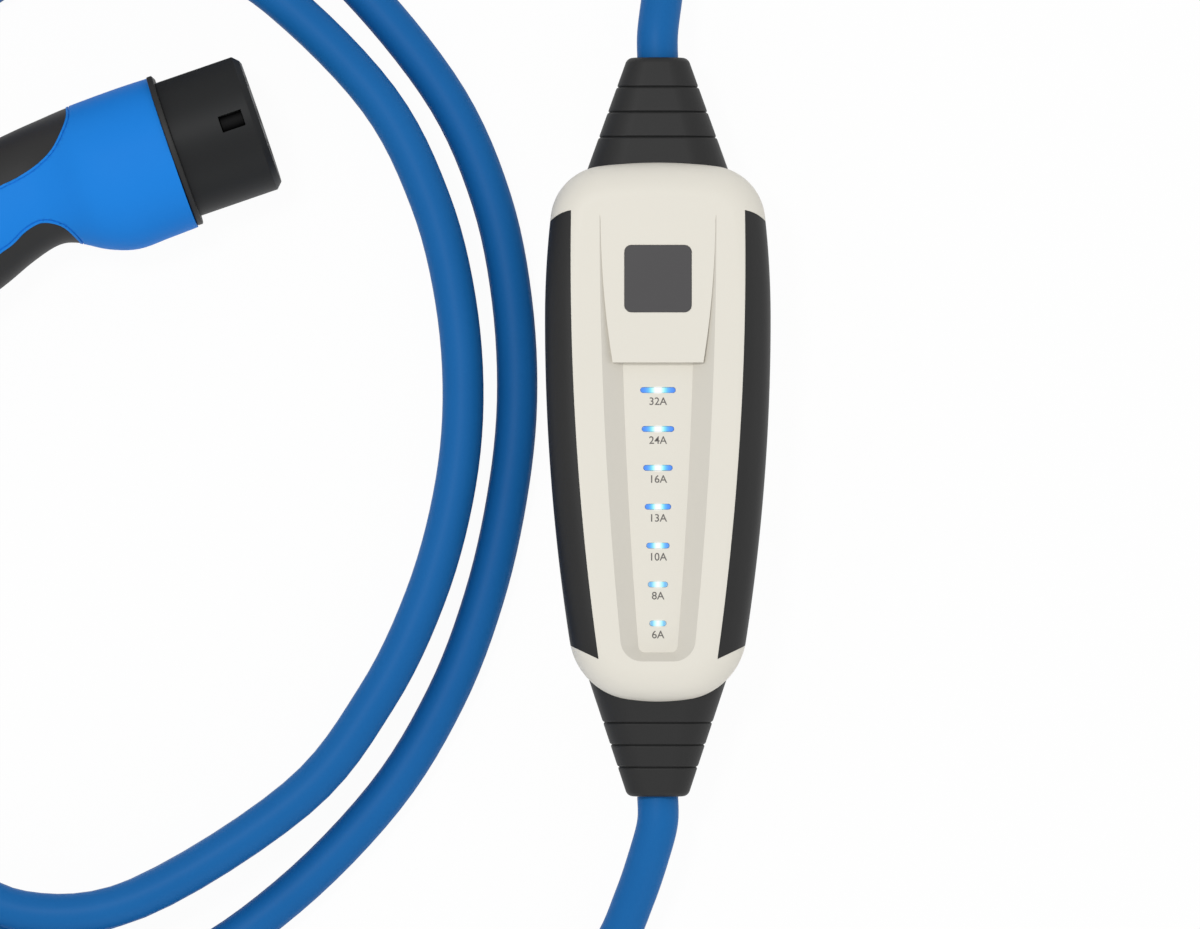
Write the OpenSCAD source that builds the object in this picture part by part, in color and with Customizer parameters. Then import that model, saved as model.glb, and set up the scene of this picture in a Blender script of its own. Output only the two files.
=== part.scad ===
// Portable charger for electric cars: a hand-held control box between two strain-relief boots,
// a coiled vehicle cable with a seven-contact connector, and a short supply lead with a five-pin plug.
// Millimetres. The box lies on its back: +Z is its front face, +Y its supply end.
// The origin is under the middle of the box, on the surface that it lies on.

/* [Case] */
// Length of the case without its boots
case_l = 210; // [200:1:225]
// Width of the case at its widest place
case_w = 88; // [84:1:96]
// Height of the case, back to front
case_h = 58; // [56:1:64]
// Height of the joint between the rear and the front shell
parting_z = 27; // [26:0.5:29]
// Wall thickness of both shells
wall = 3.2; // [2.8:0.1:3.6]
// Radius of the edge round the front face
edge_r = 13; // [11:0.5:15]
// Radius of the edge round the back face
back_edge_r = 11; // [9:0.5:12]
// Draft of the side walls, from the joint to the edge radius
draft = 1; // [0.5:0.1:1.5]
// Distance of the widest place from the middle of the part
widest_y = 42; // [36:1:48]
// Side curve above the widest place
side_upper_r = 360; // [330:10:420]
// Side curve below the widest place
side_lower_r = 820; // [780:10:1000]
// Curve of the supply end
top_end_r = 170; // [150:5:200]
// Curve of the vehicle end
bottom_end_r = 78; // [72:1:90]
// Corner radius at the supply end
top_corner_r = 22; // [20:1:25]
// Corner radius at the vehicle end
bottom_corner_r = 27; // [24:1:29]

/* [Front face] */
// Depth of the sunk display channel
channel_depth = 5; // [3:0.1:6]
// Width of the channel's rim at the height where it fades out, its widest
channel_top_w = 45.4; // [42:0.2:48]
// Width of the channel's rim where its lower corners begin
channel_end_w = 29.2; // [27:0.2:31]
// Width of the channel floor, carried on to the same height under the tab
floor_top_w = 28.8; // [26:0.2:30]
// Width of the channel floor where its lower corners begin
floor_end_w = 15.2; // [13:0.2:16]
// Height on the face where the channel fades out beside the tab
channel_top_y = 83; // [80:1:86]
// Height on the face of the tab's lower edge
tab_y = 25; // [22:1:28]
// Lower end of the channel
channel_end_y = -91; // [-93:1:-88]
// Width of the tab at its lower edge
tab_w = 35.2; // [33:0.2:37]
// Side of the square badge on the tab
badge_w = 26; // [22:1:28]
// Thickness of the badge
badge_t = 0.9; // [0.6:0.1:1.2]
// Number of lit current steps
step_count = 7; // [5:1:7]
// Distance between the steps
step_pitch = 15.1; // [14.5:0.1:15.4]
// Height on the face of the highest step
step_top_y = 14.3; // [12:0.1:15]
// Width of the highest step's window
step_top_w = 13.6; // [12:0.2:14.4]
// How much narrower each next window is
step_narrowing = 1.2; // [1:0.1:1.3]
// Height of a window
step_h = 2; // [1.6:0.1:2.4]

/* [Side grips] */
// Thickness of the soft grips
grip_t = 1.8; // [1.4:0.1:2]
// Distance of the grips' inner edge from the middle, at its widest
grip_edge_x = 34; // [33:0.2:35]
// Curve of the grips' inner edge
grip_edge_r = 1110; // [1000:10:1300]
// Upper end of the grips
grip_top_y = 84; // [81:1:86]
// Lower end of the grips
grip_end_y = -90; // [-92:1:-86]

/* [Boots] */
// Length of the boot on the supply side
upper_boot_l = 41; // [38:1:46]
// Length of the boot on the vehicle side
lower_boot_l = 37; // [34:1:42]
// Width of the supply boot at the case
upper_boot_w = 53; // [50:1:56]
// Width of the vehicle boot at the case
lower_boot_w = 48; // [45:1:50]
// Height of both boots at the case
boot_h = 40; // [36:1:42]
// Width and height of the boots at their tip
boot_tip_w = 23.6; // [22:0.2:26]
// Number of grooves round each boot
groove_count = 3; // [2:1:3]
// Distance from a boot's tip to its first groove
groove_end = 11.5; // [10:0.1:12]
// Distance between the grooves of the upper boot
upper_groove_pitch = 9.8; // [8:0.1:10]
// Distance between the grooves of the lower boot
lower_groove_pitch = 8.7; // [8:0.1:10]
// Depth of a groove
groove_depth = 1; // [0.6:0.1:1.4]
// Width of a groove
groove_w = 1.6; // [1.2:0.1:2.4]

/* [Cable] */
// Diameter of the five-core cable
cable_d = 16; // [15:0.1:16]
// Width of the strap that ties the coil
tie_w = 20; // [16:1:25]
// Thickness of the strap
tie_t = 2; // [1.5:0.1:2]

/* [Vehicle connector] */
// Width of the nose
nose_w = 60; // [58:0.5:61]
// Height of the nose, from its flat to its round side
nose_h = 54; // [53:0.5:55]
// Length of the nose in front of the collar
nose_l = 34; // [32:1:38]
// Chamfer at the mouth of the nose
nose_chamfer = 2.4; // [1.5:0.1:3]
// How far the collar stands out round the nose
collar_lip = 3.2; // [2.8:0.1:3.4]
// Thickness of the collar
collar_t = 2.4; // [2:0.1:3]
// Distance of the outer contacts from the middle one
contact_circle_r = 16; // [15.5:0.1:16.5]
// Bore of the power contacts
power_bore = 6; // [5.8:0.1:6.2]
// Bore of the signal contacts
signal_bore = 3; // [2.8:0.1:3.2]
// Length of a contact
contact_l = 26; // [24:1:28]
// Wall of the handle's shells
handle_wall = 3.4; // [3:0.1:3.8]
// Thickness of the handle's soft grips
handle_grip_t = 1.6; // [1.2:0.1:1.8]
// Length of the boot at the end of the handle
tail_boot_l = 45; // [40:1:46]

/* [Supply plug] */
// Outer diameter of the plug's shroud
shroud_d = 70; // [68:1:72]
// Wall of the shroud
shroud_wall = 4; // [3.5:0.1:4.5]
// Depth of the shroud in front of the pin carrier
shroud_depth = 45; // [42:1:48]
// Diameter of the four live and neutral pins
pin_d = 6; // [5.8:0.1:6.2]
// Diameter of the earth pin
earth_pin_d = 8; // [7.8:0.1:8.2]
// Length of the pins in front of the carrier
pin_l = 37; // [34:1:39]
// Diameter of the circle that the pins stand on
pin_circle_d = 36; // [34:0.5:38]
// Length of the housing behind the shroud
housing_l = 72; // [68:1:76]
// Length of the gland nut
gland_l = 26; // [22:1:28]

/* [Inside] */
// Width of the main circuit board
board_w = 52; // [48:1:54]
// Length of the main circuit board
board_l = 132; // [126:1:136]
// Thickness of the circuit boards
board_t = 1.6; // [1.4:0.1:2]
// Height of the standoffs under the main board
standoff_h = 7; // [6:0.5:8]
// Diameter of the case screws
screw_d = 3.5; // [3:0.1:4]

/* [Hidden] */
$fn = 48;
// Clearance between pieces that are fitted together
gap = 0.12;
// Overlap that lets a cut run past a face
past = 1;

// Places along the box, worked out from the lengths above
part_l = case_l + upper_boot_l + lower_boot_l;
case_top = part_l / 2 - upper_boot_l;
case_bottom = lower_boot_l - part_l / 2;
floor_z = case_h - channel_depth;
ceiling_z = floor_z - wall;
half_w = case_w / 2;

// Centres of the arcs that make the outline
upper_c = [half_w - side_upper_r, widest_y];
lower_c = [half_w - side_lower_r, widest_y];
top_c = [0, case_top - top_end_r];
bottom_c = [0, case_bottom + bottom_end_r];

// Where two circles meet, on the side of the line between them that the sign picks
function meeting(c1, r1, c2, r2, side) =
    let (d = c2 - c1, l = norm(d), a = (r1 * r1 - r2 * r2 + l * l) / (2 * l), e = d / l)
    c1 + a * e + side * sqrt(r1 * r1 - a * a) * [-e.y, e.x];
function heading(v) = atan2(v.y, v.x);
// Points of an arc, without its last one, so that arcs can follow each other
function arc(c, r, from, to, n) =
    [for (i = [0 : n - 1]) let (a = from + (to - from) * i / n) c + r * [cos(a), sin(a)]];

top_corner_c = meeting(upper_c, side_upper_r - top_corner_r, top_c, top_end_r - top_corner_r, 1);
bottom_corner_c =
    meeting(lower_c, side_lower_r - bottom_corner_r, bottom_c, bottom_end_r - bottom_corner_r, -1);

// Outline of the case, moved inwards by d: tangent arcs keep their centres and lose radius
function right_outline(d) =
    let (b1 = heading(bottom_corner_c - bottom_c), b2 = heading(bottom_corner_c - lower_c),
         t1 = heading(top_corner_c - upper_c), t2 = heading(top_corner_c - top_c))
    concat(
        arc(bottom_c, bottom_end_r - d, -90, b1, 4),
        arc(bottom_corner_c, bottom_corner_r - d, b1, b2, 6),
        arc(lower_c, side_lower_r - d, b2, 0, 5),
        arc(upper_c, side_upper_r - d, 0, t1, 3),
        arc(top_corner_c, top_corner_r - d, t1, t2, 6),
        arc(top_c, top_end_r - d, t2, 90, 4),
        [[0, case_top - d]]);
function outline(d) =
    let (r = right_outline(d), n = len(r))
    concat(r, [for (i = [n - 2 : -1 : 1]) [-r[i].x, r[i].y]]);

// A solid through a list of closed rings with equal numbers of points, each convex
module loft(rings) {
    n = len(rings[0]);
    m = len(rings);
    function at(j, i) = j * n + i % n;
    polyhedron(
        points = [for (r = rings) each r],
        faces = concat(
            [[for (i = [0 : n - 1]) i]],
            [for (j = [0 : m - 2], i = [0 : n - 1]) [at(j, i), at(j + 1, i), at(j + 1, i + 1)]],
            [for (j = [0 : m - 2], i = [0 : n - 1]) [at(j, i), at(j + 1, i + 1), at(j, i + 1)]],
            [[for (i = [n - 1 : -1 : 0]) (m - 1) * n + i]]));
}

// Height and inset of the front half's skin, moved inwards by t, from a height below the joint
function front_profile(t, from_z) = concat(
    [[from_z, t]],
    [for (i = [0 : 6]) let (a = 15 * i, r = edge_r - t)
        [case_h - edge_r + r * sin(a), draft + t + r * (1 - cos(a))]]);
// The same for the rear half, from its back face up
function rear_profile(t, to_z) = concat(
    [for (i = [0 : 5]) let (a = 90 - 18 * i, r = back_edge_r - t)
        [back_edge_r - r * sin(a), draft + t + r * (1 - cos(a))]],
    [[to_z, t]]);
function levels(profile) = [for (p = profile) [for (q = outline(p[1])) [q.x, q.y, p[0]]]];
module front_half(t, from_z = parting_z) loft(levels(front_profile(t, from_z)));
module rear_half(t, to_z = parting_z) loft(levels(rear_profile(t, to_z)));
module outside_of_case(t) {
    loft(levels(concat(rear_profile(t, parting_z), [for (p = front_profile(t, parting_z + gap)) p])));
}

module both_sides() {
    children();
    mirror([1, 0, 0]) children();
}

// Display channel: its rim on the front face and its floor, joined by sloping walls
channel_r = 8.5;
floor_r = 2.4;
floor_end_y = channel_end_y + 3.5;
// Half the width at height y of a strip with bowed sides, widest where the channel fades out
function bowed(y, top_w, end_w, end_y) =
    (top_w - (top_w - end_w) * pow((channel_top_y - y) / (channel_top_y - end_y), 2)) / 2;
// The right side of such a strip from a height down to its end, and the whole strip
function bowed_side(from_y, top_w, end_w, end_y, n = 6) =
    [for (i = [0 : n]) let (y = from_y + (end_y - from_y) * i / n) [bowed(y, top_w, end_w, end_y), y]];
module strip(side) polygon(concat(side, [for (i = [len(side) - 1 : -1 : 0]) [-side[i].x, side[i].y]]));
module end_rounded(from_y, top_w, end_w, end_y, r) {
    strip(bowed_side(from_y, top_w, end_w, end_y + r));
    for (s = [-1, 1]) translate([s * (end_w / 2 - r), end_y + r]) circle(r);
}
module channel(sink = 0) {
    hull() {
        translate([0, 0, case_h - sink]) linear_extrude(past)
            end_rounded(channel_top_y, channel_top_w, channel_end_w, channel_end_y, channel_r, $fn = 32);
        translate([0, 0, floor_z - sink]) linear_extrude(past)
            end_rounded(tab_y, floor_top_w, floor_end_w, floor_end_y, floor_r, $fn = 32);
    }
}
// The tab stays at the height of the face between the channel's upper ends, which go on as fine grooves
tab_groove = 0.4;
module tab(low_z) {
    translate([0, 0, low_z]) linear_extrude(case_h - low_z + 2 * past)
        strip(bowed_side(channel_top_y + past, channel_top_w - 2 * tab_groove, tab_w, tab_y));
}

// Windows for the lit current steps
function step_y(i) = step_top_y - i * step_pitch;
function step_w(i) = step_top_w - i * step_narrowing;
module window(i, h, grow = 0) {
    w = step_w(i) - step_h;
    translate([0, step_y(i), 0]) linear_extrude(h) {
        square([w, step_h + 2 * grow], center = true);
        for (s = [-1, 1]) translate([s * w / 2, 0]) circle(step_h / 2 + grow);
    }
}

// Badge seat in the middle of the tab
badge_y = (channel_top_y + tab_y) / 2 + 3.5;
badge_r = 2.7;
badge_sunk = badge_t - 0.2;
module rounded_square(w, r) {
    square([w - 2 * r, w], center = true);
    square([w, w - 2 * r], center = true);
    for (x = [-1, 1], y = [-1, 1]) translate([x, y] * (w / 2 - r)) circle(r);
}

// Plan of one side grip: its inner edge is a long arc, its ends follow the shoulders of the case
grip_apex_y = 65;
grip_shoulder_r = 14.3;
grip_end_slope = 25;
function grip_edge(y) = grip_edge_x - pow(y - grip_apex_y, 2) / (2 * grip_edge_r);
module grip_plan(grow = 0) {
    far = case_w;
    shoulder = arc([grip_edge(grip_top_y) - 2.3, grip_top_y - grip_shoulder_r + 0.2],
        grip_shoulder_r + grow, 81, 0, 6);
    edge = [for (i = [0 : 10]) let (y = grip_end_y + (grip_top_y - grip_end_y) * i / 10)
        [grip_edge(y) - grow, y + (i == 0 ? -grow : i == 10 ? grow : 0)]];
    polygon(concat(edge, shoulder,
        [[far, grip_top_y - grip_shoulder_r],
         [far, grip_end_y + (far - grip_edge(grip_end_y)) * tan(grip_end_slope) - grow]]));
}
// Skin between two depths, over the plan of one grip
module grip_skin(outer, inner, base_z, grow = 0) {
    difference() {
        intersection() {
            front_half(outer, base_z);
            translate([0, 0, base_z]) linear_extrude(case_h) grip_plan(grow);
        }
        front_half(inner, base_z - past);
    }
}

// Case screws, through bosses in the rear shell into bosses in the front one
screw_places = [[35, 64], [35, 2], [25.5, -76]];
boss_r = screw_d / 2 + 2.4;
screw_head_r = screw_d * 0.95;
screw_head_z = 5;
screw_head_h = screw_d * 0.6;
screw_tip_z = case_h - edge_r - 5;
module at_case_screws() both_sides() for (p = screw_places) translate([p.x, p.y, 0]) children();

// Boot ports: the boots' necks cross the shells' joint at both ends
boot_axis_z = parting_z;
neck_r = cable_d / 2 + 4;
flange_r = neck_r + 3;
flange_t = 3;
// The flange stays clear of the curved inside of the end walls
flange_setback = wall + 2.6;
module ports(r) {
    translate([0, 0, boot_axis_z]) rotate([90, 0, 0]) cylinder(r = r, h = part_l, center = true);
}

// Cable clamps: a cradle on the rear shell and a saddle over it, at each end of the board
clamp_l = 10;
clamp_w = 36;
clamp_screw_x = 13.5;
clamp_inset = flange_setback + flange_t + 2;
cradle_z = boot_axis_z - 0.4;
saddle_h = cable_d / 2 + 4;
upper_clamp_y = case_top - clamp_inset - clamp_l;
lower_clamp_y = case_bottom + clamp_inset;
module at_clamps() for (y = [upper_clamp_y, lower_clamp_y]) translate([0, y, 0]) children();

// Main board on four standoffs
board_y = -1;
board_z = wall + standoff_h;
board_top = board_z + board_t;
board_hole = [board_w / 2 - 3.2, board_l / 2 - 18];
module at_board_screws() {
    for (x = [-1, 1], y = [-1, 1]) translate([x * board_hole.x, board_y + y * board_hole.y, 0]) children();
}

// Light board hangs from two pillars under the channel
light_web_t = 2;
light_web_margin = 2.3;
led_h = 1.6;
light_board_w = 16;
light_board_z = ceiling_z - light_web_t - led_h - board_t - 2 * gap;
light_board_margin = 9.5;
light_board_l = (step_count - 1) * step_pitch + 2 * light_board_margin;
light_board_y = (step_y(0) + step_y(step_count - 1)) / 2;
pillar_inset = 4;
pillar_y = light_board_l / 2 - pillar_inset;
module at_pillars() for (s = [-1, 1]) translate([0, light_board_y + s * pillar_y, 0]) children();

// Front half of the case, with the display channel, the grip seats and the screw bosses
module front_shell() {
    color("#e5e1d6") difference() {
        union() {
            difference() {
                front_half(0);
                difference() {
                    front_half(wall, parting_z - past);
                    channel(wall);
                }
            }
            intersection() {
                front_half(wall / 2);
                union() {
                    at_case_screws() translate([0, 0, parting_z])
                        cylinder(r = boss_r, h = case_h - parting_z);
                    at_pillars() translate([0, 0, light_board_z + board_t])
                        cylinder(r = 3, h = floor_z - light_board_z - board_t - wall / 2);
                }
            }
        }
        difference() {
            channel();
            tab(floor_z - wall);
        }
        both_sides() grip_skin(-past, grip_t + gap, parting_z, gap);
        for (i = [0 : step_count - 1]) translate([0, 0, ceiling_z - past]) window(i, wall + 2 * past, gap);
        translate([0, badge_y, case_h - badge_sunk]) linear_extrude(past + badge_t)
            rounded_square(badge_w + 2 * gap, badge_r + gap);
        ports(neck_r + gap);
        at_case_screws() translate([0, 0, parting_z - past])
            cylinder(d = screw_d + 2 * gap, h = screw_tip_z - parting_z + past + gap);
        at_pillars() translate([0, 0, light_board_z]) cylinder(d = 2 + 2 * gap, h = board_t + 5);
    }
}

// Rear half of the case: standoffs, cable cradles, screw bosses and the groove for the seal
seal_inset = 1;
seal_w = 1.2;
seal_depth = 1.4;
module seal_plan(grow = 0) {
    difference() {
        polygon(outline(seal_inset - grow));
        polygon(outline(seal_inset + seal_w + grow));
    }
}
module rear_shell() {
    color("#d9d5ca") difference() {
        union() {
            difference() {
                rear_half(0);
                rear_half(wall, parting_z + past);
            }
            intersection() {
                rear_half(wall / 2);
                union() {
                    at_case_screws() cylinder(r = boss_r, h = parting_z);
                    at_board_screws() cylinder(r = 3.4, h = board_z);
                    at_clamps() translate([-clamp_w / 2, 0, 0]) cube([clamp_w, clamp_l, cradle_z]);
                }
            }
        }
        at_case_screws() {
            translate([0, 0, -past]) cylinder(d = screw_d + 2 * gap, h = parting_z + 2 * past);
            translate([0, 0, -past]) cylinder(r = screw_head_r + gap, h = screw_head_z + past);
        }
        at_board_screws() translate([0, 0, wall]) cylinder(d = 2.5 + 2 * gap, h = standoff_h + past);
        at_clamps() for (s = [-1, 1]) translate([s * clamp_screw_x, clamp_l / 2, cradle_z - 14])
            cylinder(d = 3 + 2 * gap, h = 14 + past);
        at_clamps() translate([0, -past, boot_axis_z]) rotate([-90, 0, 0])
            cylinder(d = cable_d + 2 * gap, h = clamp_l + 2 * past);
        ports(neck_r + gap);
        translate([0, 0, parting_z - seal_depth]) linear_extrude(seal_depth + past) seal_plan(gap);
    }
}

// Soft cord in the groove between the shells, open where the boots pass
module shell_seal() {
    color("#1c1c1c") difference() {
        translate([0, 0, parting_z - seal_depth + gap]) linear_extrude(seal_depth - gap) seal_plan();
        ports(neck_r + gap);
    }
}

// Soft black inlays round both sides of the front shell
module right_grip() {
    color("#2e2e2e") grip_skin(0, grip_t, parting_z + 2 * gap);
}
module left_grip() mirror([1, 0, 0]) right_grip();

// Dark square plate let into the tab
module badge_plate() {
    color("#595859") translate([0, badge_y, case_h - badge_sunk]) linear_extrude(badge_t)
        rounded_square(badge_w, badge_r);
}

// Clear comb whose teeth fill the windows
module light_guide() {
    color("#bfe4ff") {
        for (i = [0 : step_count - 1]) translate([0, 0, ceiling_z - gap - light_web_t / 2])
            window(i, floor_z - ceiling_z + gap + light_web_t / 2);
        translate([-step_top_w / 2 - 0.2, step_y(step_count - 1) - light_web_margin,
            ceiling_z - gap - light_web_t])
            cube([step_top_w + 0.4, step_y(0) - step_y(step_count - 1) + 2 * light_web_margin, light_web_t]);
    }
}

module light_board() {
    color("#22543d") difference() {
        translate([-light_board_w / 2, light_board_y - light_board_l / 2, light_board_z])
            cube([light_board_w, light_board_l, board_t]);
        at_pillars() translate([0, 0, light_board_z - past])
            cylinder(d = 2 + 2 * gap, h = board_t + 2 * past);
    }
}

// One lamp under each window
module status_leds() {
    color("#f4f4f4") for (i = [0 : step_count - 1])
        translate([0, step_y(i), light_board_z + board_t + led_h / 2]) cube([3.2, 2.8, led_h], center = true);
}

module pan_screw(d, l, head_r, head_h) {
    translate([0, 0, -head_h]) cylinder(r = head_r, h = head_h);
    cylinder(d = d, h = l);
}
module light_board_screws() {
    color("silver") at_pillars() translate([0, 0, light_board_z]) pan_screw(2, board_t + 4.5, 1.9, 1.3);
}

// Main circuit board, with notches round the middle case bosses
module main_board() {
    color("#1f5a3a") difference() {
        translate([-board_w / 2, board_y - board_l / 2, board_z]) cube([board_w, board_l, board_t]);
        at_board_screws() translate([0, 0, board_z - past])
            cylinder(d = 2.5 + 2 * gap, h = board_t + 2 * past);
        at_case_screws() cylinder(r = boss_r + 0.6, h = parting_z);
    }
}
module board_screws() {
    color("silver") at_board_screws() translate([0, 0, board_top]) mirror([0, 0, 1])
        pan_screw(2.5, board_t + standoff_h - 1, 2.4, 1.8);
}

// Power relays in two rows, one for each switched conductor
relay = [18, 27, 24];
relay_y = [-36, -5];
module relays() {
    color("#27303a") for (s = [-1, 1], y = relay_y)
        translate([s * (relay.x / 2 + 0.8), board_y + y, board_top + relay.z / 2]) cube(relay, center = true);
}

// Ring-shaped residual-current sensor, standing on the board and reaching up to the light board
sensor_clearance = 4;
sensor_r = (light_board_z - board_top - sensor_clearance) / 2;
sensor_bore_r = 8;
sensor_t = 13;
sensor_y = 22;
module current_sensor() {
    color("#3a3a3a") translate([0, sensor_y + sensor_t / 2, board_top]) {
        difference() {
            union() {
                translate([0, 0, sensor_r]) rotate([90, 0, 0]) cylinder(r = sensor_r, h = sensor_t);
                translate([-sensor_r, -sensor_t, 0]) cube([2 * sensor_r, sensor_t, sensor_r / 2]);
            }
            translate([0, past, sensor_r]) rotate([90, 0, 0])
                cylinder(r = sensor_bore_r, h = sensor_t + 2 * past);
        }
    }
}

// Small power supply for the electronics
supply_module_size = [20, 15, 15];
module supply_module() {
    color("#202020") translate([-board_w / 2 + 3, sensor_y + sensor_t / 2 + 0.6, board_top])
        cube(supply_module_size);
    color("#24384f") translate([board_w / 2 - 9, sensor_y + sensor_t / 2 + 9, board_top])
        cylinder(d = 12, h = 18);
}

// Screw terminals for the cable's cores
terminal_pitch = 8.4;
terminal_l = 13;
terminal_h = 17;
core_d = 4.2;
core_z = board_top + 9;
core_count = 5;
upper_terminal_y = board_y + board_l / 2 - terminal_l - 1;
lower_terminal_y = board_y - board_l / 2 + 1;
function core_x(i) = (i - (core_count - 1) / 2) * terminal_pitch;
module terminals(y) {
    w = core_count * terminal_pitch;
    difference() {
        translate([-w / 2, y, board_top]) cube([w, terminal_l, terminal_h]);
        for (i = [0 : core_count - 1]) {
            translate([core_x(i), y - past, core_z]) rotate([-90, 0, 0])
                cylinder(d = core_d + 0.6, h = terminal_l + 2 * past);
            translate([core_x(i), y + terminal_l / 2, board_top + terminal_h - 3])
                cylinder(d = 5, h = 3 + past);
        }
    }
}
module supply_terminals() color("#3c7a52") terminals(upper_terminal_y);
module vehicle_terminals() color("#3c7a52") terminals(lower_terminal_y);

// Cores fan out from the cut end of a cable into the terminals
core_lay_r = 3.9;
// Place of each core in the cable, in the order of the terminals
core_angles = [162, 234, 90, 306, 18];
module cores(cable_y, terminal_y) {
    dir = sign(terminal_y - cable_y);
    for (i = [0 : core_count - 1]) {
        lay = core_lay_r * [cos(core_angles[i]), sin(core_angles[i])];
        path = [
            [lay.x, cable_y, boot_axis_z + lay.y],
            [lay.x, cable_y + dir * 2, boot_axis_z + lay.y],
            [core_x(i), terminal_y - dir * 2, core_z],
            [core_x(i), terminal_y + dir * 8, core_z]];
        loft(cable_rings(path, core_d, 8));
    }
}
upper_cable_end_y = upper_clamp_y - 2;
lower_cable_end_y = lower_clamp_y + clamp_l + 2;
module supply_cores() color("#8c5a2b") cores(upper_cable_end_y - gap, upper_terminal_y + terminal_l);
module vehicle_cores() color("#8c5a2b") cores(lower_cable_end_y + gap, lower_terminal_y);

// Straight ends of the cables, gripped by the boots and the clamps
module cable_end(from_y, to_y) {
    translate([0, from_y, boot_axis_z]) rotate([-90, 0, 0]) cylinder(d = cable_d, h = to_y - from_y);
}
module supply_cable_end() color("#266dab") cable_end(upper_cable_end_y, part_l / 2);
module vehicle_cable_end() color("#266dab") cable_end(-part_l / 2, lower_cable_end_y);

// Saddles that hold the cable ends down on their cradles
module clamp(y) {
    difference() {
        translate([-clamp_w / 2, y, cradle_z + gap]) cube([clamp_w, clamp_l, saddle_h]);
        translate([0, y - past, boot_axis_z]) rotate([-90, 0, 0])
            cylinder(d = cable_d + 2 * gap, h = clamp_l + 2 * past);
        for (s = [-1, 1]) translate([s * clamp_screw_x, y + clamp_l / 2, 0])
            cylinder(d = 3 + 2 * gap, h = case_h);
    }
}
module supply_cable_clamp() color("#4a4a4a") clamp(upper_clamp_y);
module vehicle_cable_clamp() color("#4a4a4a") clamp(lower_clamp_y);
clamp_screw_grip = 12;
module clamp_screws() {
    color("silver") at_clamps() for (s = [-1, 1])
        translate([s * clamp_screw_x, clamp_l / 2, cradle_z + gap + saddle_h]) mirror([0, 0, 1])
            pan_screw(3, saddle_h + clamp_screw_grip, 2.8, 2);
}
module case_screws() {
    color("silver") at_case_screws() translate([0, 0, screw_head_z])
        pan_screw(screw_d, screw_tip_z - screw_head_z, screw_head_r, screw_head_h);
}

// Boots: tapered rubber blocks with grooves, moulded to the ends of the case
function rounded_ring(w, h, r, n = 7) =
    [for (k = [0 : 3], i = [0 : n - 1]) let (a = 90 * (k + i / (n - 1)),
        sx = (k == 0 || k == 3) ? 1 : -1, sy = k < 2 ? 1 : -1)
        [sx * (w / 2 - r) + r * cos(a), sy * (h / 2 - r) + r * sin(a)]];
boot_root = 12;
tip_round = 2;
// Distance from the case end, and how far the skin is sunk there
function boot_stations(l, pitch) = concat(
    [[-boot_root, 0]],
    [for (i = [groove_count - 1 : -1 : 0], k = [-1, 0, 1])
        [l - groove_end - i * pitch + k * groove_w / 2, k == 0 ? groove_depth : 0]],
    [for (a = [0, 30, 60, 90]) [l - tip_round + tip_round * sin(a), tip_round * (1 - cos(a))]]);
// The supply boot points up (dir 1), the vehicle boot down (dir -1)
module boot(w, l, pitch, end_y, dir) {
    rings = [for (s = boot_stations(l, pitch)) let (f = s[0] / l,
        rw = w + (boot_tip_w - w) * f - 2 * s[1], rh = boot_h + (boot_tip_w - boot_h) * f - 2 * s[1])
        [for (q = rounded_ring(rw, rh, 0.36 * min(rw, rh)))
            [-dir * q.x, end_y + dir * s[0], boot_axis_z + q.y]]];
    module along(from, to, r) {
        translate([0, end_y + dir * from, boot_axis_z]) rotate([-90 * dir, 0, 0])
            cylinder(r = r, h = to - from);
    }
    difference() {
        union() {
            difference() {
                loft(rings);
                outside_of_case(-gap);
            }
            along(-flange_setback - past, 4, neck_r);
            along(-flange_setback - flange_t, -flange_setback, flange_r);
        }
        along(-flange_setback - flange_t - past, l + past, cable_d / 2 + gap);
    }
}
module supply_boot() color("#373737")
    boot(upper_boot_w, upper_boot_l, upper_groove_pitch, case_top, 1);
module vehicle_boot() color("#373737")
    boot(lower_boot_w, lower_boot_l, lower_groove_pitch, case_bottom, -1);

// Vehicle connector, lying on its side. Its own axes: +X out of the nose, +Y to its flat side.
connector_turn = 19;
collar_r = nose_w / 2 + collar_lip;
connector_at = [-187.8, 110.7, collar_r];
function turned(p, a) = [p.x * cos(a) - p.y * sin(a), p.x * sin(a) + p.y * cos(a), p.z];
function in_place(p) = connector_at + turned(p, connector_turn);
module at_connector() translate(connector_at) rotate([0, 0, connector_turn]) children();

// A disc or bar across the nose's axis, with the flat on its +Y side
module d_bar(r, flat, from, to) {
    difference() {
        translate([from, 0, 0]) rotate([0, 90, 0]) cylinder(r = r, h = to - from, $fn = 96);
        translate([from - past, flat, -r - past]) cube([to - from + 2 * past, r, 2 * r + 2 * past]);
    }
}
nose_flat = nose_h - nose_w / 2;
spigot_r = nose_w / 2 - 5;
spigot_flat = nose_flat - 5.5;
spigot_l = 14;
face_recess = 5;
power_r = power_bore / 2 + 1.3;
signal_r = signal_bore / 2 + 1.1;
// Contacts round the middle one: two power, two signal and two power, in a ring of six
power_angles = [0, 180, 240, 300];
signal_angles = [60, 120];
function contact_at(a) = contact_circle_r * [cos(a), sin(a)];
// The angle is seen from the mouth, with the flat side up
module at_contact(p) translate([0, p.y, p.x]) rotate([0, 90, 0]) children();
module at_power_contacts() {
    at_contact([0, 0]) children();
    for (a = power_angles) at_contact(contact_at(a)) children();
}
module at_signal_contacts() for (a = signal_angles) at_contact(contact_at(a)) children();

latch_l = 9.3;
latch_w = 6.5;
latch_x = nose_l - 10.1;
latch_depth = 5;
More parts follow.
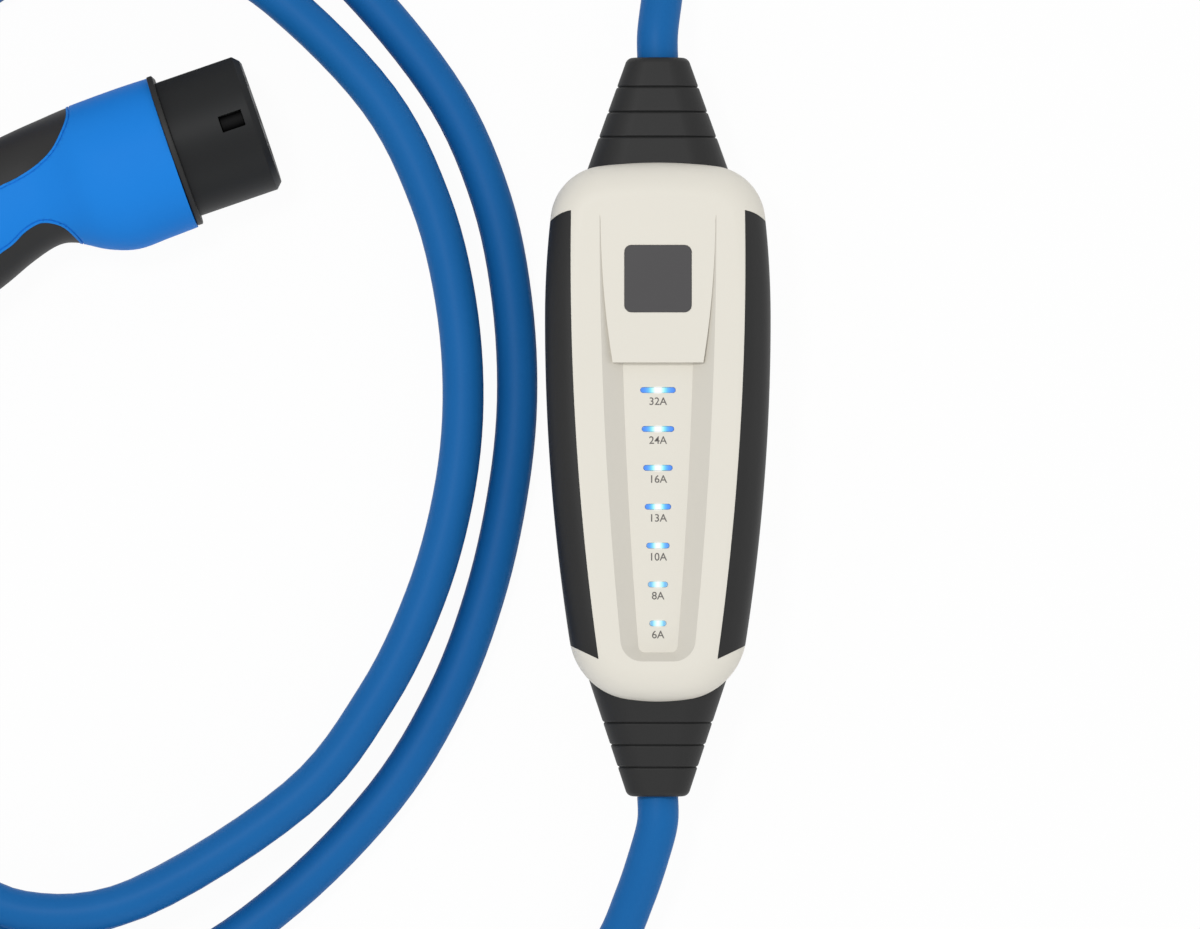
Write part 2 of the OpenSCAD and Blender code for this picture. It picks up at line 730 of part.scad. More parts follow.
// Insulating nose: chamfered mouth, seven contact holes and a latch recess on each side
module connector_nose() {
    module chamfered() {
        rotate([0, 90, 0]) {
            cylinder(d = nose_w, h = nose_l - nose_chamfer, $fn = 96);
            translate([0, 0, nose_l - nose_chamfer])
                cylinder(d1 = nose_w, d2 = nose_w - 2 * nose_chamfer, h = nose_chamfer, $fn = 96);
        }
    }
    color("#303134") at_connector() difference() {
        union() {
            difference() {
                chamfered();
                translate([-past, nose_flat, -nose_w]) cube([nose_l + 2 * past, nose_w, 2 * nose_w]);
                translate([nose_l, nose_flat - nose_chamfer, -nose_w]) rotate([0, 0, 45])
                    cube([nose_w, nose_w, 2 * nose_w]);
            }
            d_bar(spigot_r, spigot_flat, -spigot_l, past);
        }
        at_power_contacts() translate([0, 0, -spigot_l - past])
            cylinder(r = power_r + gap, h = nose_l + spigot_l + 2 * past);
        at_signal_contacts() translate([0, 0, -spigot_l - past])
            cylinder(r = signal_r + gap, h = nose_l + spigot_l + 2 * past);
        for (s = [-1, 1]) translate([latch_x, 0, s * nose_w / 2])
            cube([latch_l, latch_w, 2 * latch_depth], center = true);
    }
}

// Soft collar behind the nose
module connector_collar() {
    color("#1f1f1f") at_connector() difference() {
        d_bar(collar_r, nose_flat + collar_lip, -collar_t, -gap);
        d_bar(spigot_r + gap, spigot_flat + gap, -collar_t - past, past);
    }
}

module sleeve(r, bore) {
    translate([0, 0, nose_l - face_recess - contact_l]) difference() {
        cylinder(r = r, h = contact_l);
        translate([0, 0, -past]) cylinder(d = bore, h = contact_l + 2 * past);
    }
}
module power_contacts() color("#c9cacc") at_connector() at_power_contacts() sleeve(power_r, power_bore);
module signal_contacts() color("#c9cacc") at_connector() at_signal_contacts() sleeve(signal_r, signal_bore);

// Handle stations: place of the middle, tilt of the section, half height, half thickness
handle_stations = [
    [-collar_t - gap, -3.7, 0, 30.2, 32.2],
    [-14, -4, 0, 30.4, 32.2],
    [-27, -4.2, 0, 30.4, 32.2],
    [-38, -2.6, 0, 28.4, 30.2],
    [-48, 0.1, 0, 25.1, 24.6],
    [-58, 0.6, 5, 23.7, 21.4],
    [-72, -1.7, 12, 24, 21.4],
    [-87, -6.5, 20, 24.5, 21.4],
    [-103, -14, 29, 23.5, 21],
    [-118, -24, 38, 21.5, 20],
    [-131, -36, 47, 19, 18.5],
    [-141, -49, 56, 16.6, 16.6]];
tail_tilt = handle_stations[len(handle_stations) - 1][2];
tail_at = handle_stations[len(handle_stations) - 1];
tail_dir = [-cos(tail_tilt), -sin(tail_tilt), 0];
// Smooth curve through four neighbours
function between(a, b, c, d, t) =
    0.5 * (2 * b + (c - a) * t + (2 * a - 5 * b + 4 * c - d) * t * t + (3 * b - a - 3 * c + d) * t * t * t);
function smoothed(list, n) =
    let (m = len(list) - 1)
    concat([for (i = [0 : m - 1], k = [0 : n - 1])
        between(list[max(i - 1, 0)], list[i], list[i + 1], list[min(i + 2, m)], k / n)], [list[m]]);
// Section of the handle: a softened rectangle, between an ellipse and a box
section_power = 2 / 2.35;
function soft(c) = sign(c) * pow(abs(c), section_power);
function handle_ring(s, t, shift = 0) =
    [for (i = [0 : 23]) let (a = 15 * i, h = (s[3] - t) * soft(cos(a)), w = (s[4] - t) * soft(sin(a)))
        [s[0] - h * sin(s[2]) + shift * cos(s[2]), s[1] + h * cos(s[2]) + shift * sin(s[2]), w]];
// The handle's skin moved inwards by t; a hollow runs past both ends
module handle_body(t, over = 0) {
    st = smoothed(handle_stations, 2);
    ends = over > 0 ? [[handle_ring(st[0], t, over)], [handle_ring(st[len(st) - 1], t, -over)]] : [[], []];
    rings = concat(ends[0], [for (s = st) handle_ring(s, t)], ends[1]);
    for (i = [0 : len(rings) - 2]) hull() loft([rings[i], rings[i + 1]]);
}
// Plans of the two soft grips, drawn on the side of the handle
back_grip_plan = [[-36, 40], [-36, 26], [-36.8, 22.8], [-40, 18.4], [-46, 12.6], [-53.6, 8.9], [-62.3, 6.7],
    [-70.5, 5.6], [-84, 2.5], [-104, -6], [-118, -15], [-127, -16], [-134, -10], [-160, 20], [-160, 40]];
finger_grip_plan = [[-48, -40], [-49, -24.2], [-52.6, -17.9], [-57, -14.6], [-61.3, -13.3], [-67, -14.1],
    [-73.6, -17], [-79, -18.7], [-92, -25], [-104, -34], [-110, -42], [-110, -50], [-100, -66]];
module grip_on_handle(plan, outer, inner, grow = 0) {
    difference() {
        intersection() {
            handle_body(outer);
            translate([0, 0, -nose_w]) linear_extrude(2 * nose_w) offset(delta = grow) polygon(plan);
        }
        handle_body(inner, past);
    }
}
module handle_half(side) {
    difference() {
        intersection() {
            handle_body(0);
            translate([-200, -150, side > 0 ? 0 : -nose_w]) cube([220, 220, nose_w]);
        }
        handle_body(handle_wall, 2 * past);
        grip_on_handle(back_grip_plan, -past, handle_grip_t + gap, gap);
        grip_on_handle(finger_grip_plan, -past, handle_grip_t + gap, gap);
    }
}
module connector_upper_shell() color("#2a85d8") at_connector() handle_half(1);
module connector_lower_shell() color("#2a85d8") at_connector() handle_half(-1);
module connector_back_grip() color("#323232") at_connector()
    grip_on_handle(back_grip_plan, 0, handle_grip_t);
module connector_finger_grip() {
    color("#323232") at_connector() grip_on_handle(finger_grip_plan, 0, handle_grip_t);
}

// Round boot at the end of the handle, with the cable's end in it
tail_boot_r = 15.4;
tail_tip_r = 11.8;
tail_neck_r = cable_d / 2 + 4;
tail_neck_l = 12;
tail_groove = 0.8;
module at_tail() {
    at_connector() translate([tail_at[0], tail_at[1], 0]) rotate([0, 90, 180 + tail_tilt]) children();
}
module connector_boot() {
    function skin_r(x) = tail_boot_r + (tail_tip_r - tail_boot_r) * x / tail_boot_l;
    color("#373737") at_tail() rotate_extrude() polygon(concat(
        [[cable_d / 2 + gap, -tail_neck_l], [tail_neck_r, -tail_neck_l]],
        [[tail_neck_r, gap], [tail_boot_r, gap]],
        [for (i = [1 : 4], k = [-1, 0, 1]) let (x = i * tail_boot_l / 5 + k * 1.1)
            [skin_r(x) - (k == 0 ? tail_groove : 0), x]],
        [[tail_tip_r, tail_boot_l - 1.5], [tail_tip_r - 1.5, tail_boot_l]],
        [[cable_d / 2 + gap, tail_boot_l]]));
}
module connector_cable_end() {
    color("#266dab") at_tail() translate([0, 0, -tail_neck_l - 8])
        cylinder(d = cable_d, h = tail_boot_l + tail_neck_l + 8);
}

// Supply plug beside the coil. Its own axis: +X from the gland to the mouth of the shroud.
plug_past_boot = 132;
plug_at = [-184, part_l / 2 + plug_past_boot, shroud_d / 2];
carrier_x = gland_l + housing_l;
carrier_t = 16;
carrier_r = shroud_d / 2 - shroud_wall - gap;
flange_hole_r = carrier_r - 4;
shroud_flange_t = 4;
module at_plug() translate(plug_at) rotate([0, 90, 180]) children();
module plug_housing() {
    rear_r = 19;
    grip_r = 25;
    front_r = shroud_d / 2 - 4;
    hollow = 3;
    color("#2c2f33") at_plug() rotate_extrude() polygon([
        [cable_d / 2 + gap, gland_l + gap], [rear_r, gland_l + gap], [grip_r, gland_l + 0.3 * housing_l],
        [grip_r, gland_l + 0.65 * housing_l], [front_r, carrier_x - 10], [front_r, carrier_x - gap],
        [flange_hole_r, carrier_x - gap], [grip_r - hollow, gland_l + 0.65 * housing_l],
        [grip_r - hollow, gland_l + 0.3 * housing_l], [rear_r - hollow, gland_l + 8],
        [cable_d / 2 + gap, gland_l + 8]]);
}
module plug_shroud() {
    r = shroud_d / 2;
    mouth = carrier_x + carrier_t + shroud_depth;
    color("#b3261e") at_plug() {
        rotate_extrude($fn = 72) polygon([
            [flange_hole_r + gap, carrier_x], [r - 1.5, carrier_x], [r, carrier_x + 1.5], [r, mouth - 1],
            [r - 1, mouth], [r - shroud_wall, mouth], [r - shroud_wall, carrier_x + shroud_flange_t],
            [flange_hole_r + gap, carrier_x + shroud_flange_t]]);
        translate([-r - 3, -4.5, carrier_x + 8]) cube([4, 9, mouth - carrier_x - 8]);
    }
}
// Pin carrier and its five pins: the earth pin is thicker
pin_angles = [72, 144, 216, 288];
module at_pin(a) translate([cos(a), sin(a), 0] * pin_circle_d / 2) children();
module pin_carrier() {
    color("#3a3d42") at_plug() difference() {
        union() {
            translate([0, 0, carrier_x]) cylinder(r = flange_hole_r, h = carrier_t);
            translate([0, 0, carrier_x + shroud_flange_t + gap])
                cylinder(r = carrier_r, h = carrier_t - shroud_flange_t - gap);
        }
        for (a = pin_angles) at_pin(a) translate([0, 0, carrier_x - past])
            cylinder(d = pin_d + 2 * gap, h = carrier_t + 2 * past);
        at_pin(0) translate([0, 0, carrier_x - past])
            cylinder(d = earth_pin_d + 2 * gap, h = carrier_t + 2 * past);
    }
}
module pin(d) {
    translate([0, 0, carrier_x - 6]) cylinder(d = d, h = carrier_t + pin_l + 4);
    translate([0, 0, carrier_x + carrier_t + pin_l - 2]) cylinder(d1 = d, d2 = d - 2, h = 2);
}
module live_pins() color("#d5d7d9") at_plug() for (a = pin_angles) at_pin(a) pin(pin_d);
module earth_pin() color("#d5d7d9") at_plug() at_pin(0) pin(earth_pin_d);
gland_w = 40;
gland_ring_d = 34;
gland_ring_l = 4;
module gland_nut() {
    color("#202225") at_plug() difference() {
        union() {
            cylinder(d = gland_w, h = gland_l - gland_ring_l, $fn = 8);
            cylinder(d = gland_ring_d, h = gland_l);
        }
        translate([0, 0, -past]) cylinder(d = cable_d + 2 * gap, h = gland_l + 2 * past);
    }
}
module plug_cable_end() color("#266dab") at_plug() cylinder(d = cable_d, h = gland_l + 24);

// Cables: rings of points along a route chosen by hand, closed to one solid
rest_z = cable_d / 2;
upper_turn_z = 1.5 * cable_d + 0.6;
tie_z = rest_z + tie_t + 0.6;
tie_y = -45;
function on_floor(points) = [for (p = points) [p.x, p.y, rest_z]];
function unit(v) = v / norm(v);
function cable_rings(path, d = cable_d, sides = 10) =
    let (m = len(path) - 1)
    [for (i = [0 : m]) let (t = unit(path[min(i + 1, m)] - path[max(i - 1, 0)]),
        side = unit(cross(t, [0, 0, 1])), up = cross(side, t))
        [for (k = [0 : sides - 1]) let (a = 360 * k / sides)
            path[i] + d / 2 * (cos(a) * up + sin(a) * side)]];

// Points given from the tip of a boot: the supply boot points up (dir 1), the vehicle boot down
function past_tip(points, dir = 1) = [for (p = points) [p.x, dir * (part_l / 2 + p.y), p.z]];
// Where the three turns pass through the tie
tie_lanes = [-397, -378, -359];
// From the vehicle boot round the left of the coil to its top
lead = concat(
    [[0, -part_l / 2, boot_axis_z], [0, -part_l / 2 - 10, boot_axis_z]],
    past_tip([[-3, 22, 24], [-9, 40, 18], [-18, 60, 12]], -1),
    on_floor([[-38, -229], [-73, -249], [-124, -260], [-186, -260], [-250, -250], [-312, -226], [-364, -180],
        [-389, -113]]),
    [[tie_lanes[0], tie_y, tie_z]],
    on_floor([[-390, 32], [-367, 103], [-326, 165], [-281, 208], [-233, 227], [-179, 213], [-139, 191]]));
outer_arc = [[-112, 167], [-82, 128], [-65, 89], [-57, 50], [-55, 10], [-59, -28], [-68, -67], [-83, -106],
    [-107, -145], [-145, -184]];
second_round = concat(
    on_floor([[-187, -212], [-235, -224], [-288, -213], [-337, -177], [-367, -118]]),
    [[tie_lanes[1], tie_y, tie_z]],
    on_floor([[-373, 20], [-352, 83], [-319, 141], [-282, 186], [-233, 206], [-186, 193]]));
inner_arc = [[-147, 167], [-109, 128], [-89, 89], [-79, 50], [-76, 10], [-80, -28], [-91, -67], [-110, -106],
    [-141, -145], [-203, -184]];
third_round = concat(
    on_floor([[-256, -196], [-297, -187], [-331, -158], [-351, -110]]),
    [[tie_lanes[2], tie_y, tie_z]],
    on_floor([[-354, 14], [-335, 74], [-304, 128]]),
    [[-268, 168, 9], [-233, 187, 14], [-205, 191, 21], [-182, 188, upper_turn_z]]);
tail_tip = [tail_at[0], tail_at[1], 0] + tail_boot_l * tail_dir;
tail = [[-248, -189, 23], [-280, -172, 15], [-306, -146, 10], [-324, -116, 10], [-331, -84, 17],
    in_place(tail_tip + 28 * tail_dir) - [0, 0, 5], in_place(tail_tip + 12 * tail_dir), in_place(tail_tip)];
vehicle_route = concat(lead, on_floor(outer_arc), second_round, on_floor(inner_arc), third_round,
    [for (p = inner_arc) [p.x, p.y, upper_turn_z]], tail);
supply_route = concat(
    [[0, part_l / 2, boot_axis_z], [0, part_l / 2 + 10, boot_axis_z]],
    past_tip([[2, 26, 22], [5, 50, 13], [3, 77, 9]]),
    past_tip([[-6, 102, rest_z], [-25, 121, rest_z], [-54, 131, rest_z]]),
    [[-90, plug_at.y, 11], [-130, plug_at.y, 24], plug_at + [22, 0, -2], plug_at + [10, 0, 0], plug_at]);
module vehicle_cable() color("#266dab") loft(cable_rings(vehicle_route));
module supply_cable() color("#266dab") loft(cable_rings(supply_route));

// Strap round the three turns on the unseen side of the coil
tie_slack = 2;
tie_from_x = tie_lanes[0];
tie_to_x = tie_lanes[2] + tie_slack;
buckle_inset = [6, 4];
module coil_tie() {
    inner_r = cable_d / 2 + 0.4;
    module band(r) {
        translate([tie_from_x, -r]) square([tie_to_x - tie_from_x, 2 * r]);
        for (x = [tie_from_x, tie_to_x]) translate([x, 0]) circle(r);
    }
    color("#26282b") translate([0, tie_y + tie_w / 2, tie_z]) rotate([90, 0, 0])
    linear_extrude(tie_w) difference() {
        union() {
            band(inner_r + tie_t);
            translate([tie_from_x + buckle_inset[0], inner_r])
                square([tie_to_x - tie_from_x - buckle_inset[0] - buckle_inset[1], 2 * tie_t]);
        }
        band(inner_r);
    }
}

front_shell();
rear_shell();
shell_seal();
left_grip();
right_grip();
badge_plate();
light_guide();
light_board();
status_leds();
light_board_screws();
main_board();
board_screws();
relays();
current_sensor();
supply_module();
supply_terminals();
vehicle_terminals();
supply_cores();
vehicle_cores();
supply_cable_end();
vehicle_cable_end();
supply_cable_clamp();
vehicle_cable_clamp();
clamp_screws();
case_screws();
supply_boot();
vehicle_boot();
connector_nose();
connector_collar();
power_contacts();
signal_contacts();
connector_upper_shell();
connector_lower_shell();
connector_back_grip();
connector_finger_grip();
connector_boot();
connector_cable_end();
plug_housing();
plug_shroud();
pin_carrier();
live_pins();
earth_pin();
gland_nut();
plug_cable_end();
vehicle_cable();
supply_cable();
coil_tie();
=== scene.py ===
import math

import bmesh
import bpy
from mathutils import Matrix, Vector
from mathutils.kdtree import KDTree


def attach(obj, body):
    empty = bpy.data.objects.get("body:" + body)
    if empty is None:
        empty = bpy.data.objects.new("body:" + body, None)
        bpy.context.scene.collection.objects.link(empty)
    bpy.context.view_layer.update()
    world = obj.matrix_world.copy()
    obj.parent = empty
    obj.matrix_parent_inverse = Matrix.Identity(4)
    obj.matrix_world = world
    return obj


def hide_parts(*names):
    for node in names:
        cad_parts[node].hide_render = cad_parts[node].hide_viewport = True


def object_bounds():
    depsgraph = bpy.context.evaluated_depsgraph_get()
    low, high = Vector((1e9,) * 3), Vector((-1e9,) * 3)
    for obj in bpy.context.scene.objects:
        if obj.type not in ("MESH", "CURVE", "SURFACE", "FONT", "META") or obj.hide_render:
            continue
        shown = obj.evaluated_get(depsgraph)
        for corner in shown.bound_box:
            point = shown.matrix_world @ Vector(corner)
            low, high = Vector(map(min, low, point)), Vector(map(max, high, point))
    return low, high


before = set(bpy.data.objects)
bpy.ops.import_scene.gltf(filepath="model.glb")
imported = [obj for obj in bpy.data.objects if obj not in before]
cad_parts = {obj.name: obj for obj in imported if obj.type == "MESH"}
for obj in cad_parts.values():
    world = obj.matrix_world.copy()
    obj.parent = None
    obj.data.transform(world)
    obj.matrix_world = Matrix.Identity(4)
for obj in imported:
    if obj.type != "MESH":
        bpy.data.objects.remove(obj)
cad_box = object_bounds()
bpy.ops.object.select_all(action="DESELECT")
mm = 0.001


# The camera looks straight down on the charger's front, as in the photograph, from so far away
# that the sides of the case hardly show.
scene = bpy.context.scene
scene.view_settings.view_transform = "Standard"
picture_middle = Vector((-22.5, -14.6, 30)) * mm
picture_width = 468 * mm
lens = 400
sensor = 36
distance = picture_width * lens / sensor
bpy.ops.object.camera_add(location=picture_middle + Vector((0, 0, distance)), rotation=(0, 0, 0))
scene.camera = bpy.context.object
scene.camera.data.lens = lens
scene.camera.data.sensor_width = sensor


# The cables: round jackets of blue thermoplastic, 16 mm across, with a satin skin. The long one
# leaves the lower boot, winds three turns and ends in the vehicle connector.
class Wire:
    """A value in a material. Sums, products and comparisons of values add Math nodes."""

    def __init__(self, finish, socket):
        self.finish = finish
        self.socket = socket

    def math(self, operation, *others):
        return self.finish.math(operation, self, *others)

    def __add__(self, other):
        return self.math("ADD", other)

    def __sub__(self, other):
        return self.math("SUBTRACT", other)

    def __rsub__(self, other):
        return self.finish.math("SUBTRACT", other, self)

    def __mul__(self, other):
        return self.math("MULTIPLY", other)

    def __lt__(self, other):
        return self.math("LESS_THAN", other)

    def __gt__(self, other):
        return self.math("GREATER_THAN", other)

    def __abs__(self):
        return self.math("ABSOLUTE")

    __radd__ = __add__
    __rmul__ = __mul__


class Finish:
    """The node tree of a material or of the world."""

    def __init__(self, owner):
        owner.use_nodes = True
        self.owner = owner
        self.tree = owner.node_tree
        self.tree.nodes.clear()

    def node(self, kind, settings=None, sockets=None, out=0):
        """Adds a node: its settings first, then the values or links of its sockets."""
        node = self.tree.nodes.new("ShaderNode" + kind)
        for name, value in (settings or {}).items():
            if name == "stops":
                ramp = node.color_ramp.elements
                while len(ramp) < len(value):
                    ramp.new(0.5)
                for stop, (position, tint) in zip(ramp, value):
                    stop.position = position
                    stop.color = tint
            else:
                setattr(node, name, value)
        for name, value in (sockets or {}).items():
            if isinstance(value, Wire):
                self.tree.links.new(value.socket, node.inputs[name])
            else:
                node.inputs[name].default_value = value
        return Wire(self, node.outputs[out]) if node.outputs else None

    def math(self, operation, *terms):
        return self.node("Math", {"operation": operation}, dict(enumerate(terms)))

    def blend(self, factor, first, second):
        """Mixes two colours."""
        return self.node("Mix", {"data_type": "RGBA"}, {0: factor, 6: first, 7: second}, out=2)

    def split(self, vector):
        """The three parts of a vector."""
        parts = self.node("SeparateXYZ", None, {"Vector": vector}).socket.node
        return [Wire(self, socket) for socket in parts.outputs]

    def shade(self, **sockets):
        """Closes a material with a Principled shader. Socket names have _ for a space."""
        named = {name.replace("_", " "): value for name, value in sockets.items()}
        skin = self.node("BsdfPrincipled", None, named)
        self.node("OutputMaterial", None, {"Surface": skin})
        return self.owner


def colour(red, green, blue):
    """A screen colour, 0 to 255, as the shader's linear one."""
    return tuple(
        (c / 255 / 12.92) if c < 10.3 else ((c / 255 + 0.055) / 1.055) ** 2.4
        for c in (red, green, blue)
    ) + (1,)


def moulded(name, dark, light, roughness, grain, depth, spread=0.08, **more):
    """Moulded skin: cloudy tint between two colours, an eroded grain, and uneven gloss."""
    finish = Finish(bpy.data.materials.new(name))
    place = finish.node("TexCoord", None, None, "Object")
    cloud = finish.node("TexNoise", None, {"Vector": place, "Scale": 22, "Detail": 4})
    fine = finish.node("TexNoise", None, {"Vector": place, "Scale": grain, "Detail": 2})
    pits = finish.node("Bump", None, {"Strength": 0.35, "Distance": depth * mm, "Height": fine})
    return finish.shade(
        Base_Color=finish.blend(cloud * 0.7 + fine * 0.3, dark, light),
        Roughness=roughness - spread / 2 + (cloud * 0.5 + fine * 0.5) * spread,
        Normal=pits,
        **more,
    )


def through(points, count):
    """A smooth line through points, with so many steps between two of them."""
    points = [Vector(p) for p in points]
    line = []
    for i in range(len(points) - 1):
        a, b = points[max(i - 1, 0)], points[i]
        c, d = points[i + 1], points[min(i + 2, len(points) - 1)]
        for k in range(count):
            t = k / count
            line.append(
                0.5
                * (
                    2 * b
                    + (c - a) * t
                    + (2 * a - 5 * b + 4 * c - d) * t * t
                    + (3 * b - a - 3 * c + d) * t * t * t
                )
            )
    return line + [points[-1]]


cable_d = 16
rest = cable_d / 2
upper_rest = 24.6


def lying(points, height=rest):
    """Points on the floor, or on a turn that lies there, as places of the cable's middle."""
    return [(x, y, height) for x, y in points]


inner_arc = [(-147, 167), (-109, 128), (-89, 89), (-79, 50), (-76, 10),
             (-80, -28), (-91, -67), (-110, -106), (-141, -145), (-203, -184)]
vehicle_route = (
    [(0, -144, 27), (0, -154, 27), (-3, -166, 24), (-9, -184, 18), (-18, -204, 12)]
    + lying([(-38, -229), (-73, -249), (-124, -260), (-186, -260), (-250, -250),
             (-312, -226), (-364, -180), (-389, -113)])
    + [(-397, -45, 10.6)]
    + lying([(-390, 32), (-367, 103), (-326, 165), (-281, 208), (-233, 227), (-179, 213),
             (-139, 191), (-112, 167), (-82, 128), (-65, 89), (-57, 50), (-55, 10),
             (-59, -28), (-68, -67), (-83, -106), (-107, -145), (-145, -184), (-187, -212),
             (-235, -224), (-288, -213), (-337, -177), (-367, -118)])
    + [(-378, -45, 10.6)]
    + lying([(-373, 20), (-352, 83), (-319, 141), (-282, 186), (-233, 206), (-186, 193)])
    + lying(inner_arc)
    + lying([(-256, -196), (-297, -187), (-331, -158), (-351, -110)])
    + [(-359, -45, 10.6)]
    + lying([(-354, 14), (-335, 74), (-304, 128)])
    + [(-268, 168, 9), (-233, 187, 14), (-205, 191, 21), (-182, 188, upper_rest)]
    + lying(inner_arc, upper_rest)
    + [(-248, -189, 23), (-280, -172, 15), (-306, -146, 10), (-324, -116, 10), (-331, -84, 17),
       (-324.06, -52.05, 28.2), (-319.92, -36.59, 33.2), (-316.81, -25, 33.2)]
)
supply_route = (
    [(0, 144, 27), (0, 154, 27), (2, 170, 22), (5, 194, 13), (3, 221, 9)]
    + lying([(-6, 246), (-25, 265), (-54, 275)])
    + [(-90, 276, 11), (-130, 276, 24), (-162, 276, 33), (-174, 276, 35), (-184, 276, 35)]
)
cable_blue = moulded("cable_jacket", colour(16, 94, 160), colour(26, 106, 174), 0.5, 900, 0.05, 0.1,
                     Specular_IOR_Level=0.12)


def within_box(place):
    """The nearest place at which a cable still lies inside the CAD model's box."""
    return Vector(min(max(v * mm, low + rest * mm), high - rest * mm)
                  for v, low, high in zip(place, *cad_box))


def lay_cable(name, route, node):
    """A round cable along a smooth line through the route's points, and its length."""
    line = [within_box(place) for place in through(route, 6)]
    data = bpy.data.curves.new(name, "CURVE")
    data.dimensions = "3D"
    data.bevel_depth = rest * mm
    data.bevel_resolution = 6
    data.use_fill_caps = True
    spline = data.splines.new("POLY")
    spline.points.add(len(line) - 1)
    for point, place in zip(spline.points, line):
        point.co = (*place, 1)
    spline.use_smooth = True
    data.materials.append(cable_blue)
    cable = bpy.data.objects.new(name, data)
    scene.collection.objects.link(cable)
    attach(cable, "root")
    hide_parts(node)
    return cable, sum((b - a).length for a, b in zip(line, line[1:]))


vehicle_cable, vehicle_length = lay_cable("vehicle_lead", vehicle_route, "vehicle_cable")
supply_cable, supply_length = lay_cable("supply_lead", supply_route, "supply_cable")


# The studio: a pale floor that the camera sees as white paper, an even sky, a key lamp from the
# upper left, and two weak lamps, one from the lower end and one from the right.
floor_gap = 0.2 * mm
bpy.ops.mesh.primitive_plane_add(size=8, location=(0, 0, -floor_gap))
floor = bpy.context.object
floor.name = "floor"


def background(finish):
    """1 where the camera, or a mirror or clear piece, looks at it, and 0 where it lights."""
    path = finish.tree.nodes.new("ShaderNodeLightPath")
    camera, glossy, clear = [Wire(finish, path.outputs["Is %s Ray" % kind])
                             for kind in ("Camera", "Glossy", "Transmission")]
    return (camera + glossy + clear).math("MINIMUM", 1)


paper = Finish(bpy.data.materials.new("floor_paper"))
matt = paper.node("BsdfDiffuse", None, {"Color": (0.86, 0.86, 0.86, 1)})
white = paper.node("Emission", None, {"Color": (1, 1, 1, 1), "Strength": 1})
paper.node("OutputMaterial", None, {
    "Surface": paper.node("MixShader", None, {0: background(paper) * 0.96, 1: matt, 2: white})})
floor.data.materials.append(paper.owner)

world = bpy.data.worlds.new("studio")
scene.world = world
air = Finish(world)
sky_light = 0.62
sky = air.node("Background", None, {
    "Color": (1, 1, 1, 1), "Strength": background(air) * (1 - sky_light) + sky_light})
air.node("OutputWorld", None, {"Surface": sky})

lit_middle = Vector((-0.1, 0, 0))
for place, size, power in (
        ((-0.5, 0.4, 2.0), 0.35, 14.4),
        ((0.3, -1.5, 0.7), 0.8, 2.5),
        ((1.4, 0.1, 0.6), 0.7, 1.2)):
    bpy.ops.object.light_add(type="AREA", location=place)
    lamp = bpy.context.object
    lamp.data.shape = "DISK"
    lamp.data.size = size
    lamp.data.energy = power
    lamp.rotation_euler = (lit_middle - Vector(place)).to_track_quat("-Z", "Y").to_euler()


# The case's front half: one moulding of cream plastic with a soft rim, a tapering display channel
# that ends under a raised tab, seats for the side grips, seven windows and a shallow badge seat.
case_w, case_h, joint_z = 88, 58, 27
case_top, case_bottom = 103, -107
rim_r, back_rim_r, draft, wall = 13, 11, 0.1, 3.2
widest_y = 42
side_upper_r, side_lower_r = 360, 820
top_end_r, bottom_end_r = 170, 78
top_corner_r, bottom_corner_r = 22, 27
side_upper = (case_w / 2 - side_upper_r, widest_y, side_upper_r)
side_lower = (case_w / 2 - side_lower_r, widest_y, side_lower_r)
top_end = (0, case_top - top_end_r, top_end_r)
bottom_end = (0, case_bottom + bottom_end_r, bottom_end_r)


def fillet(first, second, radius, side):
    """The circle that touches two larger ones from inside: its centre and radius."""
    a, b = Vector(first[:2]), Vector(second[:2])
    ra, rb = first[2] - radius, second[2] - radius
    along = (b - a).normalized()
    reach = (ra * ra - rb * rb + (b - a).length_squared) / (2 * (b - a).length)
    centre = a + reach * along + side * math.sqrt(ra * ra - reach * reach) * along.orthogonal()
    return (centre.x, centre.y, radius)


top_corner = fillet(side_upper, top_end, top_corner_r, 1)
bottom_corner = fillet(side_lower, bottom_end, bottom_corner_r, -1)


def heading(start, end):
    """The angle at which one circle's middle sees another's."""
    return math.atan2(end[1] - start[1], end[0] - start[0])


def arc(circle, start, end, count, inset=0):
    """Points along an arc, its last one left to the next arc."""
    x, y, r = circle
    turns = [start + (end - start) * i / count for i in range(count)]
    return [(x + (r - inset) * math.cos(a), y + (r - inset) * math.sin(a)) for a in turns]


def whole_arc(circle, start, end, count):
    """Points along an arc, with both its ends."""
    return arc(circle, start, end, count) + arc(circle, end, end, 1)


def round_plan(x, y, r, count):
    return arc((x, y, r), 0, 2 * math.pi, count)


def case_outline(inset):
    """Outline of the case, moved inwards: tangent arcs that keep their centres."""
    low_turn, low_side = heading(bottom_end, bottom_corner), heading(side_lower, bottom_corner)
    high_side, high_turn = heading(side_upper, top_corner), heading(top_end, top_corner)
    right = (
        arc(bottom_end, -math.pi / 2, low_turn, 10, inset)
        + arc(bottom_corner, low_turn, low_side, 22, inset)
        + arc(side_lower, low_side, 0, 54, inset)
        + arc(side_upper, 0, high_side, 20, inset)
        + arc(top_corner, high_side, high_turn, 22, inset)
        + arc(top_end, high_turn, math.pi / 2, 10, inset)
        + [(0, case_top - inset)]
    )
    return right + [(-x, y) for x, y in right[-2:0:-1]]


def select_only(obj):
    bpy.ops.object.select_all(action="DESELECT")
    obj.select_set(True)
    bpy.context.view_layer.objects.active = obj


